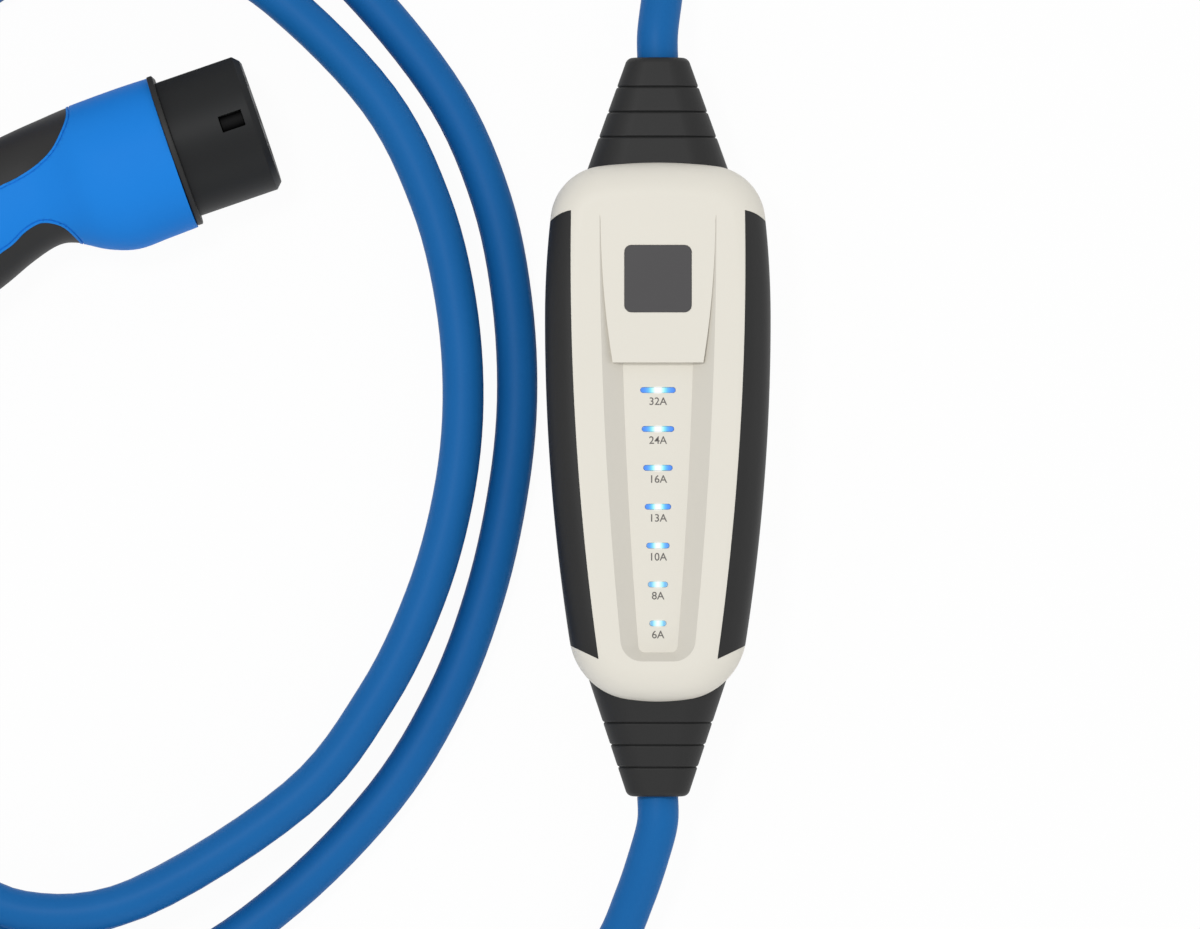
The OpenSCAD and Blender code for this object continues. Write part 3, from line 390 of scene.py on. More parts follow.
def loft(name, rings):
    """A closed body: a circle put on the first ring, then extruded from ring to ring."""
    rings = [[Vector(p) * mm for p in r] for r in rings]
    bpy.ops.object.select_all(action="DESELECT")
    bpy.ops.mesh.primitive_circle_add(vertices=len(rings[0]), radius=10 * mm, fill_type="NOTHING")
    obj = bpy.context.object
    obj.name = obj.data.name = name
    for corner, place in zip(obj.data.vertices, rings[0]):
        corner.co = place
    obj.location = (0, 0, 0)
    bpy.ops.object.mode_set(mode="EDIT")
    bpy.ops.mesh.select_all(action="SELECT")
    for last, following in zip(rings, rings[1:]):
        bpy.ops.mesh.extrude_region_move()
        tree = KDTree(len(last))
        for i, p in enumerate(last):
            tree.insert(p, i)
        tree.balance()
        mesh = bmesh.from_edit_mesh(obj.data)
        for corner in mesh.verts:
            if corner.select:
                corner.co = following[tree.find(corner.co)[1]]
        bmesh.update_edit_mesh(obj.data)
    bpy.ops.mesh.select_all(action="DESELECT")
    bpy.ops.mesh.select_non_manifold(extend=False, use_wire=False, use_boundary=True)
    bpy.ops.mesh.fill_holes(sides=0)
    bpy.ops.mesh.select_all(action="SELECT")
    bpy.ops.mesh.normals_make_consistent(inside=False)
    bpy.ops.object.mode_set(mode="OBJECT")
    return obj


def at_height(plan, z):
    return [(x, y, z) for x, y in plan]


def prism(name, plan, low, high):
    return loft(name, [at_height(plan, z) for z in (low, high)])


def carve(obj, tool, operation="DIFFERENCE", keep=False, folded=False):
    """Cuts, joins or crosses a body with another one, which is then thrown away."""
    select_only(obj)
    cut = obj.modifiers.new("carve", "BOOLEAN")
    cut.operation = operation
    cut.solver = "EXACT"
    cut.use_self = folded
    cut.object = tool
    bpy.ops.object.modifier_apply(modifier=cut.name)
    if not keep:
        bpy.data.objects.remove(tool)
    return obj


def join(obj, more):
    """Adds a body to another one, which may still be missing."""
    if obj is None:
        return more
    select_only(obj)
    more.select_set(True)
    bpy.ops.object.join()
    return obj


def soften(obj, width, segments=2, angle=35):
    """Rounds the sharp edges and evens out the shading of the rest."""
    select_only(obj)
    edge = obj.modifiers.new("edge", "BEVEL")
    edge.width = width * mm
    edge.segments = segments
    edge.limit_method = "ANGLE"
    edge.angle_limit = math.radians(angle)
    edge.use_clamp_overlap = True
    edge.miter_outer = "MITER_ARC"
    bpy.ops.object.modifier_apply(modifier=edge.name)
    return smooth(obj, angle)


def smooth(obj, angle=35):
    """Shades smooth, apart from sharp edges, and leads the shading by the larger faces."""
    select_only(obj)
    bpy.ops.object.shade_smooth_by_angle(angle=math.radians(angle))
    even = obj.modifiers.new("even", "WEIGHTED_NORMAL")
    even.keep_sharp = True
    bpy.ops.object.modifier_apply(modifier=even.name)
    return obj


def place_piece(obj, material, slot, *nodes):
    """Gives a finished piece its material and its place in the frame."""
    obj.data.materials.clear()
    obj.data.materials.append(material)
    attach(obj, "root")
    if nodes:
        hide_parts(*nodes)
    return obj


def quarter(count):
    """Angles from 0 to 90 degrees."""
    return [math.radians(90 * i / count) for i in range(count + 1)]


def front_body(name, inset, low):
    """The front half's skin, moved inwards, from a height near the joint up to the face."""
    r = rim_r - inset
    steps = [(low, inset)] + [
        (case_h - rim_r + r * math.sin(a), draft + inset + r * (1 - math.cos(a)))
        for a in quarter(24)
    ]
    return loft(name, [at_height(case_outline(d), z) for z, d in steps])


def rear_body(name, inset, high):
    """The rear half's skin, moved inwards, from the back up to a height near the joint."""
    r = back_rim_r - inset
    steps = [
        (back_rim_r - r * math.sin(a), draft + inset + r * (1 - math.cos(a)))
        for a in reversed(quarter(12))
    ] + [(high, inset)]
    return loft(name, [at_height(case_outline(d), z) for z, d in steps])


channel_depth = 5
channel_floor = case_h - channel_depth
channel_top_y, tab_y, channel_end_y = 83, 25, -91
channel_top_w, channel_end_w, channel_end_r = 45.4, 29.2, 8.5
floor_top_w, floor_end_w, floor_end_r = 28.8, 15.2, 2.4
flank_end_l = 3.5
tab_top_w, tab_w = 44.6, 35.2


def bowed_side(from_y, top_w, end_w, end_y):
    """The right edge of a strip with bowed sides, widest where the channel fades out."""
    ys = [from_y + (end_y - from_y) * i / 24 for i in range(25)]
    return [((top_w - (top_w - end_w) * ((channel_top_y - y) / (channel_top_y - end_y)) ** 2) / 2, y)
            for y in ys]


def mirrored(plan):
    return [(-x, y) for x, y in plan[::-1]]


def both_sides(half):
    return half + mirrored(half)


def rounded_end(from_y, top_w, end_w, end_y, r):
    """A strip with bowed sides and two round corners at its lower end."""
    corner = whole_arc((end_w / 2 - r, end_y + r, r), 0, -math.pi / 2, 12)[1:]
    return both_sides(bowed_side(from_y, top_w, end_w, end_y + r) + corner)


def channel_body(name, sink):
    """The channel from its floor to its rim, and on through the face, wrapped in one hull."""
    rim = rounded_end(channel_top_y, channel_top_w, channel_end_w, channel_end_y, channel_end_r)
    bed = rounded_end(tab_y, floor_top_w, floor_end_w, channel_end_y + flank_end_l, floor_end_r)
    body = loft(name, [at_height(bed, channel_floor - sink), at_height(rim, case_h - sink),
                       at_height(rim, case_h - sink + 1)])
    bpy.ops.object.mode_set(mode="EDIT")
    bpy.ops.mesh.select_all(action="SELECT")
    bpy.ops.mesh.convex_hull()
    bpy.ops.object.mode_set(mode="OBJECT")
    return body


grip_t = 1.8
grip_edge_x, grip_widest_y, grip_edge_r = 34, 65, 1110
shoulder_r, shoulder_in = 14.3, 2.3
shoulder_from, grip_end_slope = math.radians(81), math.radians(25)


def grip_plan(grow):
    """Plan of the right grip: a long bow inside, a shoulder at the top, a slope at the bottom."""
    def edge_x(y):
        return grip_edge_x - (y - grip_widest_y) ** 2 / (2 * grip_edge_r)
    top, end, far = 84, -90, case_w
    ys = [end + (top - end) * i / 30 for i in range(31)]
    inner = [(edge_x(y) - grow, y + (-grow if y == end else grow if y == top else 0)) for y in ys]
    shoulder_y = top - shoulder_r
    shoulder = arc((edge_x(top) - shoulder_in, shoulder_y + 0.2, shoulder_r + grow), shoulder_from, 0, 12)
    rise = (far - edge_x(end)) * math.tan(grip_end_slope)
    return inner + shoulder + [(far, shoulder_y), (far, end + rise - grow)]


step_top_y, step_pitch, step_h = 14.3, 15.1, 2
step_top_w, step_narrowing = 13.6, 1.2
step_places = [(step_top_y - step_pitch * i, step_top_w - step_narrowing * i) for i in range(7)]


def long_round(start, end, y, r, count=12):
    """A strip with round ends: two half circles and the straights between them."""
    return (whole_arc((end, y, r), -math.pi / 2, math.pi / 2, count)
            + whole_arc((start, y, r), math.pi / 2, 1.5 * math.pi, count))


def slot_plan(y, w, grow=0):
    """Plan of one step's window."""
    middle = w / 2 - step_h / 2
    return long_round(-middle, middle, y, step_h / 2 + grow)


badge_y, badge_w, badge_r, badge_seat = 57.5, 26, 2.7, 0.7
corners = ((1, 1), (-1, 1), (-1, -1), (1, -1))


def rounded_square(w, r, y):
    h = w / 2 - r
    return [p for i, (sx, sy) in enumerate(corners)
            for p in whole_arc((sx * h, y + sy * h, r), i * math.pi / 2, (i + 1) * math.pi / 2, 8)]


front = front_body("case_front", 0, joint_z)
hollow = carve(front_body("hollow", wall, joint_z - 1), channel_body("bed", wall))
carve(front, hollow)
tab = both_sides(bowed_side(channel_top_y + 1, tab_top_w, tab_w, tab_y))
channel = carve(channel_body("channel", 0), prism("tab", tab, channel_floor - wall, case_h + 9))
carve(front, channel)
gap = 0.12
for plan in (grip_plan(gap), mirrored(grip_plan(gap))):
    seat = prism("seat", plan, joint_z - 1, case_h + 5)
    carve(front, carve(seat, front_body("core", grip_t + gap, joint_z - 2)))
for y, w in step_places:
    carve(front, prism("window", slot_plan(y, w, gap), channel_floor - 8, case_h))
carve(front, prism("badge_seat", rounded_square(badge_w + 2 * gap, badge_r + gap, badge_y),
                   case_h - badge_seat, case_h + 3))
soften(front, 0.35, 2, 12)
shell = Finish(bpy.data.materials.new("shell_cream"))
place = shell.node("TexCoord", None, None, "Object")
cloud = shell.node("TexNoise", None, {"Vector": place, "Scale": 22, "Detail": 4})
fine = shell.node("TexNoise", None, {"Vector": place, "Scale": 1500, "Detail": 2})
cream = shell.blend(cloud * 0.7 + fine * 0.3, colour(226, 222, 211), colour(231, 227, 216))
x, y, _ = [part * (1 / mm) for part in shell.split(place)]
# Painted shade: the base colour turns a darker cream on the channel's sloping flanks, standing in for the
# shade that falls on them.
uprightness = shell.split(shell.node("NewGeometry", None, None, "Normal"))[2]
flank_shade_painted = shell.node("MapRange", None, {
    "Value": uprightness, "From Min": 0.985, "From Max": 0.93, "To Min": 0, "To Max": 1})
down = (channel_top_y - y) * (1 / (channel_top_y - channel_end_y))
channel_edge = channel_top_w / 2 + 0.5 - down * down * ((channel_top_w - channel_end_w) / 2)
in_channel = (abs(x) < channel_edge) * (y < channel_top_y - 1) * (y > channel_end_y - 0.5)
cream = shell.blend(flank_shade_painted * in_channel, cream, colour(214, 210, 200))
# Painted light: an emission on the channel floor round each window, a pool of the lights' glow painted into
# the cream.
glow_pool_half_w, glow_pool_half_h, glow_pool_end_y = 10 / 3, 5 / 3, -84
row = (step_top_y - y) * (1 / step_pitch)
off_row = (row - row.math("ROUND")) * (step_pitch / glow_pool_half_h)
off_middle = x * (1 / glow_pool_half_w)
painted_glow_pool = (1 - off_row * off_row - off_middle * off_middle).math("MAXIMUM", 0)
painted_glow_pool = painted_glow_pool * in_channel * (y < tab_y) * (y > glow_pool_end_y)
shell_cream = shell.shade(
    Base_Color=cream,
    Emission_Color=shell.blend(painted_glow_pool, colour(0, 0, 0), (0.3, 0.37, 0.37, 1)),
    Emission_Strength=1,
    Roughness=0.46 + (cloud * 0.5 + fine * 0.5) * 0.08,
    Normal=shell.node("Bump", None, {"Strength": 0.35, "Distance": 0.04 * mm, "Height": fine}),
    Specular_IOR_Level=0.25)
place_piece(front, shell_cream, "shell_light", "front_shell")


# The case's rear half: the same plastic a shade darker, screwed to the front from behind, with
# deep round wells for its six screws.
rear = rear_body("case_rear", 0, joint_z)
carve(rear, rear_body("rear_hollow", wall, joint_z + 1))
screw_places = [(sx * x, y) for x, y in ((35, 64), (35, 2), (25.5, -76)) for sx in (-1, 1)]
post_r, well_r, well_depth = 4.15, 3.45, 5
for x, y in screw_places:
    carve(rear, prism("post", round_plan(x, y, post_r, 36), 1.5, joint_z - 0.2), "UNION")
    carve(rear, prism("well", round_plan(x, y, well_r, 36), -1, well_depth))
soften(rear, 0.3)
shell_rear = moulded("shell_rear", colour(214, 210, 199), colour(220, 216, 205), 0.48, 1500, 0.05)
place_piece(rear, shell_rear, "shell_rear", "rear_shell")


# The side grips: soft black rubber laid into seats of the front half, flush with its skin, with a
# fine rounded edge all round.
grip_rubber = moulded("grip_rubber", colour(25, 25, 25), colour(31, 31, 31), 0.52, 1200, 0.09,
                      Specular_IOR_Level=0.32)
for name, plan, node in (("grip_right", grip_plan(0), "right_grip"),
                         ("grip_left", mirrored(grip_plan(0)), "left_grip")):
    grip = front_body(name, 0, joint_z + 2 * gap)
    carve(grip, prism("plan", plan, joint_z, case_h + 5), "INTERSECT")
    carve(grip, front_body("core", grip_t, joint_z - 1))
    soften(grip, 0.45)
    place_piece(grip, grip_rubber, "soft_black", node)


# The badge: a bare dark plate of moulded plastic let into the tab, with a fine rounded edge and a
# satin face that stands a hair proud of the case.
proud = 0.2
badge = prism("badge", rounded_square(badge_w, badge_r, badge_y), case_h - badge_seat, case_h + proud)
soften(badge, 0.18, 3)
badge_grey = moulded("badge_satin", colour(76, 75, 76), colour(84, 83, 84), 0.6, 2600, 0.02,
                     Specular_IOR_Level=0.15)
place_piece(badge, badge_grey, "badge_grey", "badge_plate")


# The current lights: seven clear teeth of one light guide that fill the windows and stand a hair
# proud of the channel. A lamp behind each makes its middle white and leaves its ends blue.
lights = None
for y, w in step_places:
    tooth = prism("current_lights", slot_plan(y, w), channel_floor - 5, channel_floor + proud)
    lights = join(lights, soften(tooth, 0.3, 3))
glow = Finish(bpy.data.materials.new("lit_guide"))
across, along, _ = [part * (1 / mm) for part in glow.split(glow.node("TexCoord", None, None, "Object"))]
half = step_top_w / 2 + (along - step_top_y) * (step_narrowing / 2 / step_pitch)
share = abs(across).math("DIVIDE", half)
blue_end = glow.node("ValToRGB", {"stops": [
    (0.0, (1, 1, 1, 1)), (0.16, (1, 1, 1, 1)), (0.3, (0.5, 0.98, 1, 1)), (0.43, (0.2, 0.76, 0.96, 1)),
    (0.56, (0.1, 0.46, 0.95, 1)), (0.75, (0.05, 0.27, 0.93, 1)), (1.0, (0.04, 0.19, 0.75, 1))]}, {0: share})
pale_end = glow.node("ValToRGB", {"stops": [
    (0.0, (1, 1, 1, 1)), (0.2, (0.8, 1, 1, 1)), (0.5, (0.36, 0.86, 0.96, 1)), (0.72, (0.16, 0.5, 0.82, 1)),
    (1.0, (0.3, 0.55, 0.72, 1))]}, {0: share})
paler = glow.node("MapRange", {"clamp": True}, {
    "Value": along, "From Min": -40, "From Max": -66, "To Min": 0, "To Max": 1})
lit = glow.blend(paler, blue_end, pale_end)
lit_guide = glow.shade(Base_Color=(0.02, 0.05, 0.1, 1), Roughness=0.25, Emission_Color=lit,
                       Emission_Strength=0.95)
place_piece(lights, lit_guide, "clear_guide", "light_guide")


# The current marks: thin grey figures that say how many amperes each light stands for, printed
# on the channel's floor under it.
mark_h, mark_down, mark_swell, ink_t = 4.2, 4.5, 0.03, 0.02
print_grey = moulded("printed_grey", colour(88, 84, 80), colour(98, 94, 90), 0.5, 3000, 0.01)
marks = None
for (y, _), words in zip(step_places, ("32A", "24A", "16A", "13A", "10A", "8A", "6A")):
    bpy.ops.object.select_all(action="DESELECT")
    bpy.ops.object.text_add()
    mark = bpy.context.object
    mark.data.body = words
    mark.data.align_x = "CENTER"
    mark.data.align_y = "CENTER"
    mark.data.size = mark_h * mm
    mark.data.offset = mark_swell * mm
    mark.data.extrude = ink_t * mm
    bpy.ops.object.convert(target="MESH")
    mark = bpy.context.object
    mark.location = (0, (y - mark_down) * mm, (channel_floor + ink_t) * mm)
    bpy.ops.object.transform_apply(location=True, rotation=True, scale=True)
    marks = join(marks, mark)
marks.name = marks.data.name = "current_marks"
place_piece(marks, print_grey, "badge_grey")


# The boots: tapered blocks of black rubber moulded round the cables, with three grooves that let
# them bend, and an end face that hugs the case.
boot_rubber = moulded("boot_rubber", colour(27, 27, 27), colour(35, 35, 35), 0.56, 1100, 0.09,
                      Specular_IOR_Level=0.3)
boot_z, boot_h, boot_tip = joint_z, 40, 23.6
boot_foot, boot_end_r = 12, 2
groove_end, groove_depth = 11.5, 0.65
cable_way_r, cable_way_l = rest + 0.3, 12


def softened_box(w, h, r, count=10):
    """Section of a boot: a rectangle with round corners."""
    return [(sx * (w / 2 - r) + r * math.cos(a), sy * (h / 2 - r) + r * math.sin(a))
            for k, (sx, sy) in enumerate(corners)
            for a in (math.radians(90 * (k + i / (count - 1))) for i in range(count))]


def boot_stations(length, pitch):
    """How far each ring is from the case's end, and how deep its skin is sunk there."""
    stations = [(-boot_foot, 0)]
    for i in (2, 1, 0):
        middle = length - groove_end - i * pitch
        stations += [(middle + groove_depth * k, groove_depth * sunk) for k, sunk in (
            (-1.4, 0), (-1, 0.06), (-0.6, 0.25), (-0.25, 0.8), (0, 1),
            (0.25, 0.8), (0.6, 0.25), (1, 0.06), (1.4, 0))]
    return stations + [(length - boot_end_r + boot_end_r * math.sin(a), boot_end_r * (1 - math.cos(a)))
                       for a in quarter(6)]


for name, width, length, pitch, end_y, way, node in (
        ("boot_supply", 53, 41, 9.8, case_top, 1, "supply_boot"),
        ("boot_vehicle", 48, 37, 8.7, case_bottom, -1, "vehicle_boot")):
    rings = []
    for s, sunk in boot_stations(length, pitch):
        share_out = s / length
        w = width + (boot_tip - width) * share_out - 2 * sunk
        h = boot_h + (boot_tip - boot_h) * share_out - 2 * sunk
        section = softened_box(w, h, 0.36 * min(w, h))
        rings.append([(x, end_y + way * s, boot_z + z) for x, z in section])
    boot = loft(name, rings)
    carve(boot, front_body("front", -gap, joint_z - 0.5))
    carve(boot, rear_body("back", -gap, joint_z + 0.5))
    cable_way = round_plan(0, boot_z, cable_way_r, 48)
    carve(boot, loft("cable_way", [[(x, end_y + way * s, z) for x, z in cable_way]
                                   for s in (length - cable_way_l, length + 2)]))
    smooth(boot, 40)
    place_piece(boot, boot_rubber, "boot_rubber", node)


# The vehicle connector's handle: two blue half shells that meet along its middle, lying on its
# side. It swells behind the nose, narrows to a waist for the fingers and bends down to the cable.
nose_r, nose_l, nose_flat, nose_chamfer = 30, 34, 24, 2.4
collar_lip = 3.2
collar_r = nose_r + collar_lip
connector_at = Vector((-187.8, 110.7, collar_r))
connector_turn = Matrix.Rotation(math.radians(19), 3, "Z")


def on_connector(p):
    """A place on the connector, whose x runs out of its nose."""
    return connector_at + connector_turn @ Vector(p)


handle_stations = [
    (-2.52, -3.2, 0, 30.6, 32.2), (-14, -3.3, 0, 30.9, 32.2), (-27, -3.5, 0, 30.9, 32.2),
    (-38, -1.9, 0, 28.9, 30.2), (-48, 0.6, 0, 25.6, 24.6), (-58, 1, 5, 24.2, 21.4),
    (-72, -1.5, 12, 24.8, 21.4), (-87, -6.5, 20, 25.2, 21.4), (-103, -14, 29, 23.8, 21),
    (-118, -24, 38, 21.5, 20), (-131, -36, 47, 19, 18.5), (-141, -49, 56, 16.6, 16.6)]


def handle_ring(x, y, tilt, half_h, half_w, inset, shift=0):
    """Section of the handle: between an ellipse and a box, across its bent middle line."""
    boxiness = 2.35
    c, s = math.cos(math.radians(tilt)), math.sin(math.radians(tilt))
    ring = []
    for i in range(72):
        a = math.radians(5 * i)
        h, w = [(size - inset) * math.copysign(abs(v) ** (2 / boxiness), v)
                for size, v in ((half_h, math.cos(a)), (half_w, math.sin(a)))]
        ring.append(on_connector((x - h * s + shift * c, y + h * c + shift * s, w)))
    return ring


def blended(stations, count):
    """Stations between the given ones, on a smooth curve."""
    first = through([s[:3] for s in stations], count)
    second = through([(s[3], s[4], 0) for s in stations], count)
    return [(*a, b[0], b[1]) for a, b in zip(first, second)]


def handle_body(name, inset, over=0):
    """The whole handle, moved inwards, and longer at both ends where it serves as a cutter."""
    stations = blended(handle_stations, 5)
    rings = [handle_ring(*s, inset) for s in stations]
    if over:
        rings = ([handle_ring(*stations[0], inset, over)] + rings
                 + [handle_ring(*stations[-1], inset, -over)])
    return loft(name, rings)


def drawn(points):
    """A smooth edge through points of the handle's side view."""
    return [tuple(p[:2]) for p in through([(x, y, 0) for x, y in points], 4)]


back_plan = [(-36, 40)] + drawn([
    (-36, 26), (-36.8, 22.8), (-40, 18.4), (-46, 12.6), (-53.6, 8.9), (-62.3, 6.7), (-70.5, 5.6),
    (-84, 2.5), (-104, -6), (-118, -15), (-127, -16), (-134, -10), (-160, 20)]) + [(-160, 40)]
finger_plan = [(-48, -40)] + drawn([
    (-48, -24.2), (-51.2, -17.9), (-55.5, -14.4), (-59.8, -13), (-65.6, -14.1), (-72.6, -17.4),
    (-79, -19.4), (-92, -25), (-104, -34), (-110, -42), (-110, -50)]) + [(-100, -66)]
finger_plan.reverse()


def plan_body(name, plan, grow=0, reach=50):
    """A prism through the handle over a clockwise plan drawn on its side, grown all round."""
    outer = []
    for i, p in enumerate(plan):
        along = Vector(plan[(i + 1) % len(plan)]) - Vector(plan[i - 1])
        outer.append(Vector(p) + grow * along.orthogonal().normalized())
    return loft(name, [[on_connector((x, y, z)) for x, y in outer] for z in (-reach, reach)])


handle_blue = moulded("handle_blue", colour(29, 125, 217), colour(37, 134, 225), 0.5, 1500, 0.03,
                      Specular_IOR_Level=0.03)
handle_wall, handle_grip_t = 3.4, 1.6
groove_in, groove_out, groove_sunk = 0.9, 1.4, 0.4
for name, side, node in (("handle_upper", 1, "connector_upper_shell"),
                         ("handle_lower", -1, "connector_lower_shell")):
    half_shell = handle_body(name, 0)
    select_only(half_shell)
    bpy.ops.object.mode_set(mode="EDIT")
    bpy.ops.mesh.select_all(action="SELECT")
    bpy.ops.mesh.bisect(plane_co=connector_at * mm, plane_no=(0, 0, side), use_fill=True, clear_inner=True)
    bpy.ops.object.mode_set(mode="OBJECT")
    for plan in (back_plan, finger_plan):
        seat = carve(plan_body("seat", plan), handle_body("core", handle_grip_t + gap, 3))
        carve(half_shell, seat)
    carve(half_shell, handle_body("handle_hollow", handle_wall, 3))
    soften(half_shell, 0.3, 2, 28)
    lines = None
    for plan in (back_plan, finger_plan):
        line = carve(plan_body("line", plan, groove_out), plan_body("inside", plan, groove_in, 60))
        lines = join(lines, carve(line, handle_body("core", groove_sunk, 3)))
    carve(half_shell, lines, folded=True)
    smooth(half_shell, 28)
    place_piece(half_shell, handle_blue, "handle_blue", node)


# The connector's soft grips: black rubber laid into the handle's back and under the fingers, a
# little lower than the shells round it.
grip_low = 0.3
handle_rubber = moulded("handle_rubber", colour(30, 30, 30), colour(38, 38, 38), 0.58, 1100, 0.09,
                        Specular_IOR_Level=0.3)
for name, plan, node in (("handle_back_grip", back_plan, "connector_back_grip"),
                         ("handle_finger_grip", finger_plan, "connector_finger_grip")):
    grip = carve(handle_body(name, grip_low), plan_body("plan", plan), "INTERSECT")
    carve(grip, handle_body("core", handle_grip_t, 3))
    soften(grip, 0.4, 3, 28)
    place_piece(grip, handle_rubber, "soft_black", node)


# The connector's nose: a black insulating block with a flat on one side, a chamfered mouth, seven
# contact holes and a latch recess in each side, and behind it a soft collar.
def d_ring(u, r, flat):
    """A circle across the nose's axis, cut off by the flat."""
    return [on_connector((u, min(y, flat), z)) for z, y in round_plan(0, 0, r, 144)]


def across_nose(name, y, z, r, start, end):
    """A round bar along the nose's axis."""
    ring = round_plan(z, y, r, 36)
    return loft(name, [[on_connector((u, across, up)) for up, across in ring] for u in (start, end)])


nose = loft("nose", [
    d_ring(-1, nose_r, nose_flat), d_ring(nose_l - nose_chamfer, nose_r, nose_flat),
    d_ring(nose_l, nose_r - nose_chamfer, nose_flat - nose_chamfer)])
contact_circle_r, power_hole_r, signal_hole_r = 16, 4.42, 2.72
carve(nose, across_nose("hole", 0, 0, power_hole_r, 2, nose_l + 2))
for turn in (0, 180, 240, 300, 60, 120):
    a = math.radians(turn)
    r = signal_hole_r if turn in (60, 120) else power_hole_r
    y, z = contact_circle_r * math.sin(a), contact_circle_r * math.cos(a)
    carve(nose, across_nose("hole", y, z, r, 2, nose_l + 2))
latch_u, latch_l, latch_w, latch_deep = nose_l - 10.1, 9.3, 6.5, 5
for side in (-1, 1):
    pocket = loft("latch", [[on_connector((latch_u + sx * latch_l / 2, sy * latch_w / 2, side * z))
                             for sx, sy in corners] for z in (nose_r - latch_deep, nose_r + 4)])
    carve(nose, pocket)
soften(nose, 0.3, 2, 25)
nose_black = moulded("nose_black", colour(26, 27, 28), colour(35, 36, 37), 0.5, 1300, 0.05,
                     Specular_IOR_Level=0.15)
place_piece(nose, nose_black, "nose_black", "connector_nose")

# Painted shade: a near-black bowed sheet on the floor of each latch recess stands for the shade inside it.
shade_sheets = None
shade_sheet_z, shade_sheet_half_w, shade_sheet_bow = nose_r - latch_deep + 0.1, 3, 1.4
for side in (-1, 1):
    bow = [(shade_sheet_half_w * math.cos(a), side * (shade_sheet_z + shade_sheet_bow * math.sin(a)))
           for a in (math.radians(18 * i) for i in range(11))]
    well = loft("latch_shade_sheets", [[on_connector((latch_u + du, y, z)) for y, z in bow] for du in (-4.5, 4.5)])
    shade_sheets = join(shade_sheets, soften(well, 0.3))
latch_shade_black = moulded("latch_shade_black", colour(7, 7, 8), colour(12, 12, 13), 0.6, 1300, 0.04,
                     Specular_IOR_Level=0.1)
place_piece(shade_sheets, latch_shade_black, "nose_black")

collar = loft("collar", [d_ring(u, collar_r - d, nose_flat + collar_lip - d) for u, d in (
    (-2.38, 3), (-2.38, 0.5), (-2.2, 0.15), (-1.9, 0), (-0.5, 0), (-0.2, 0.15), (-0.05, 0.5), (-0.05, 2.6))])
smooth(collar, 40)
place_piece(collar, boot_rubber, "boot_rubber", "connector_collar")


# The connector's tail boot: a tapered sleeve of the same rubber as the boots, pushed over the
# cable where it leaves the handle, with four grooves that let it bend.
tail_x, tail_y, tail_tilt = handle_stations[-1][:3]
tail_root = Vector((tail_x, tail_y, 0))
tail_out = Vector((-math.cos(math.radians(tail_tilt)), -math.sin(math.radians(tail_tilt)), 0))
tail_side = Vector((-tail_out.y, tail_out.x, 0))
tail_l, tail_root_r, tail_tip_r, tail_pitch = 45, 15.4, 11.8, 9


def tail_ring(x, r):
    """A ring across the tail boot."""
    return [on_connector(tail_root + tail_out * x + tail_side * y + Vector((0, 0, z)))
            for y, z in round_plan(0, 0, r, 72)]


profile = [(0.1, 8.4), (0.1, 13.6), (0.1, 14.6), (0.3, 15.2), (0.8, 15.35)]
for i in range(1, 5):
    for k, sunk in ((-1.6, 0), (-1, 0.1), (-0.5, 0.5), (0, 0.8), (0.5, 0.5), (1, 0.1), (1.6, 0)):
        x = tail_pitch * i + k
        profile.append((x, tail_root_r + (tail_tip_r - tail_root_r) * x / tail_l - sunk))
profile += [(43.4, 11.9), (44.2, 11.6), (44.8, 11), (tail_l, 10.2), (tail_l, 8.4)]
tail_boot = loft("tail_boot", [tail_ring(x, r) for x, r in profile])
smooth(tail_boot, 40)
place_piece(tail_boot, boot_rubber, "boot_rubber", "connector_boot")


# The supply plug: a dark housing with finger flutes, a red shroud with its key rib, a carrier with
# four live pins and a thicker earth pin, and an eight-sided gland nut where the cable enters.
plug_at = Vector(supply_route[-1])
pin_circle_r, live_pin_r, earth_pin_r = 18, 3, 4


def on_plug(u, y, z):
    """A place on the plug: u runs along its axis from the gland to the mouth."""
    return plug_at + Vector((-u, y, z))


def plug_ring(u, radius, y=0, z=0, count=96):
    """A ring across the plug's axis. The radius is a number or a function of the angle."""
    turns = [2 * math.pi * i / count for i in range(count)]
    sizes = [radius(a) if callable(radius) else radius for a in turns]
    return [on_plug(u, y + r * math.cos(a), z + r * math.sin(a)) for a, r in zip(turns, sizes)]


def plug_turned(name, profile, y=0, z=0, count=96):
    """A turned body of the plug, round its axis or beside it."""
    return loft(name, [plug_ring(u, r, y, z, count) for u, r in profile])


def fluted(radius, depth):
    """A radius with 24 finger flutes, as a function of the angle."""
    return lambda a: radius - depth * (0.5 - 0.5 * math.cos(24 * a)) ** 2


plug_dark = moulded("plug_dark", colour(38, 41, 45), colour(47, 50, 54), 0.45, 1300, 0.06)
body = plug_turned("plug_body", [
    (26.15, 9), (26.15, 18.2), (26.4, 18.8), (27, 19.05), (47, 24.9), (48, fluted(25, 0.2)),
    (50, fluted(25, 0.9)), (60, fluted(25, 1)), (70, fluted(25, 0.9)), (72, fluted(25, 0.2)),
    (73.4, 25.2), (80, 27.8), (87, 30.6), (88.2, 30.95), (91, 31), (91.4, 30.4), (92.6, 30.4), (93, 31),
    (97, 31), (97.6, 30.8), (97.88, 30.3), (97.88, 20)], count=192)
place_piece(smooth(body, 32), plug_dark, "plug_dark", "plug_housing")

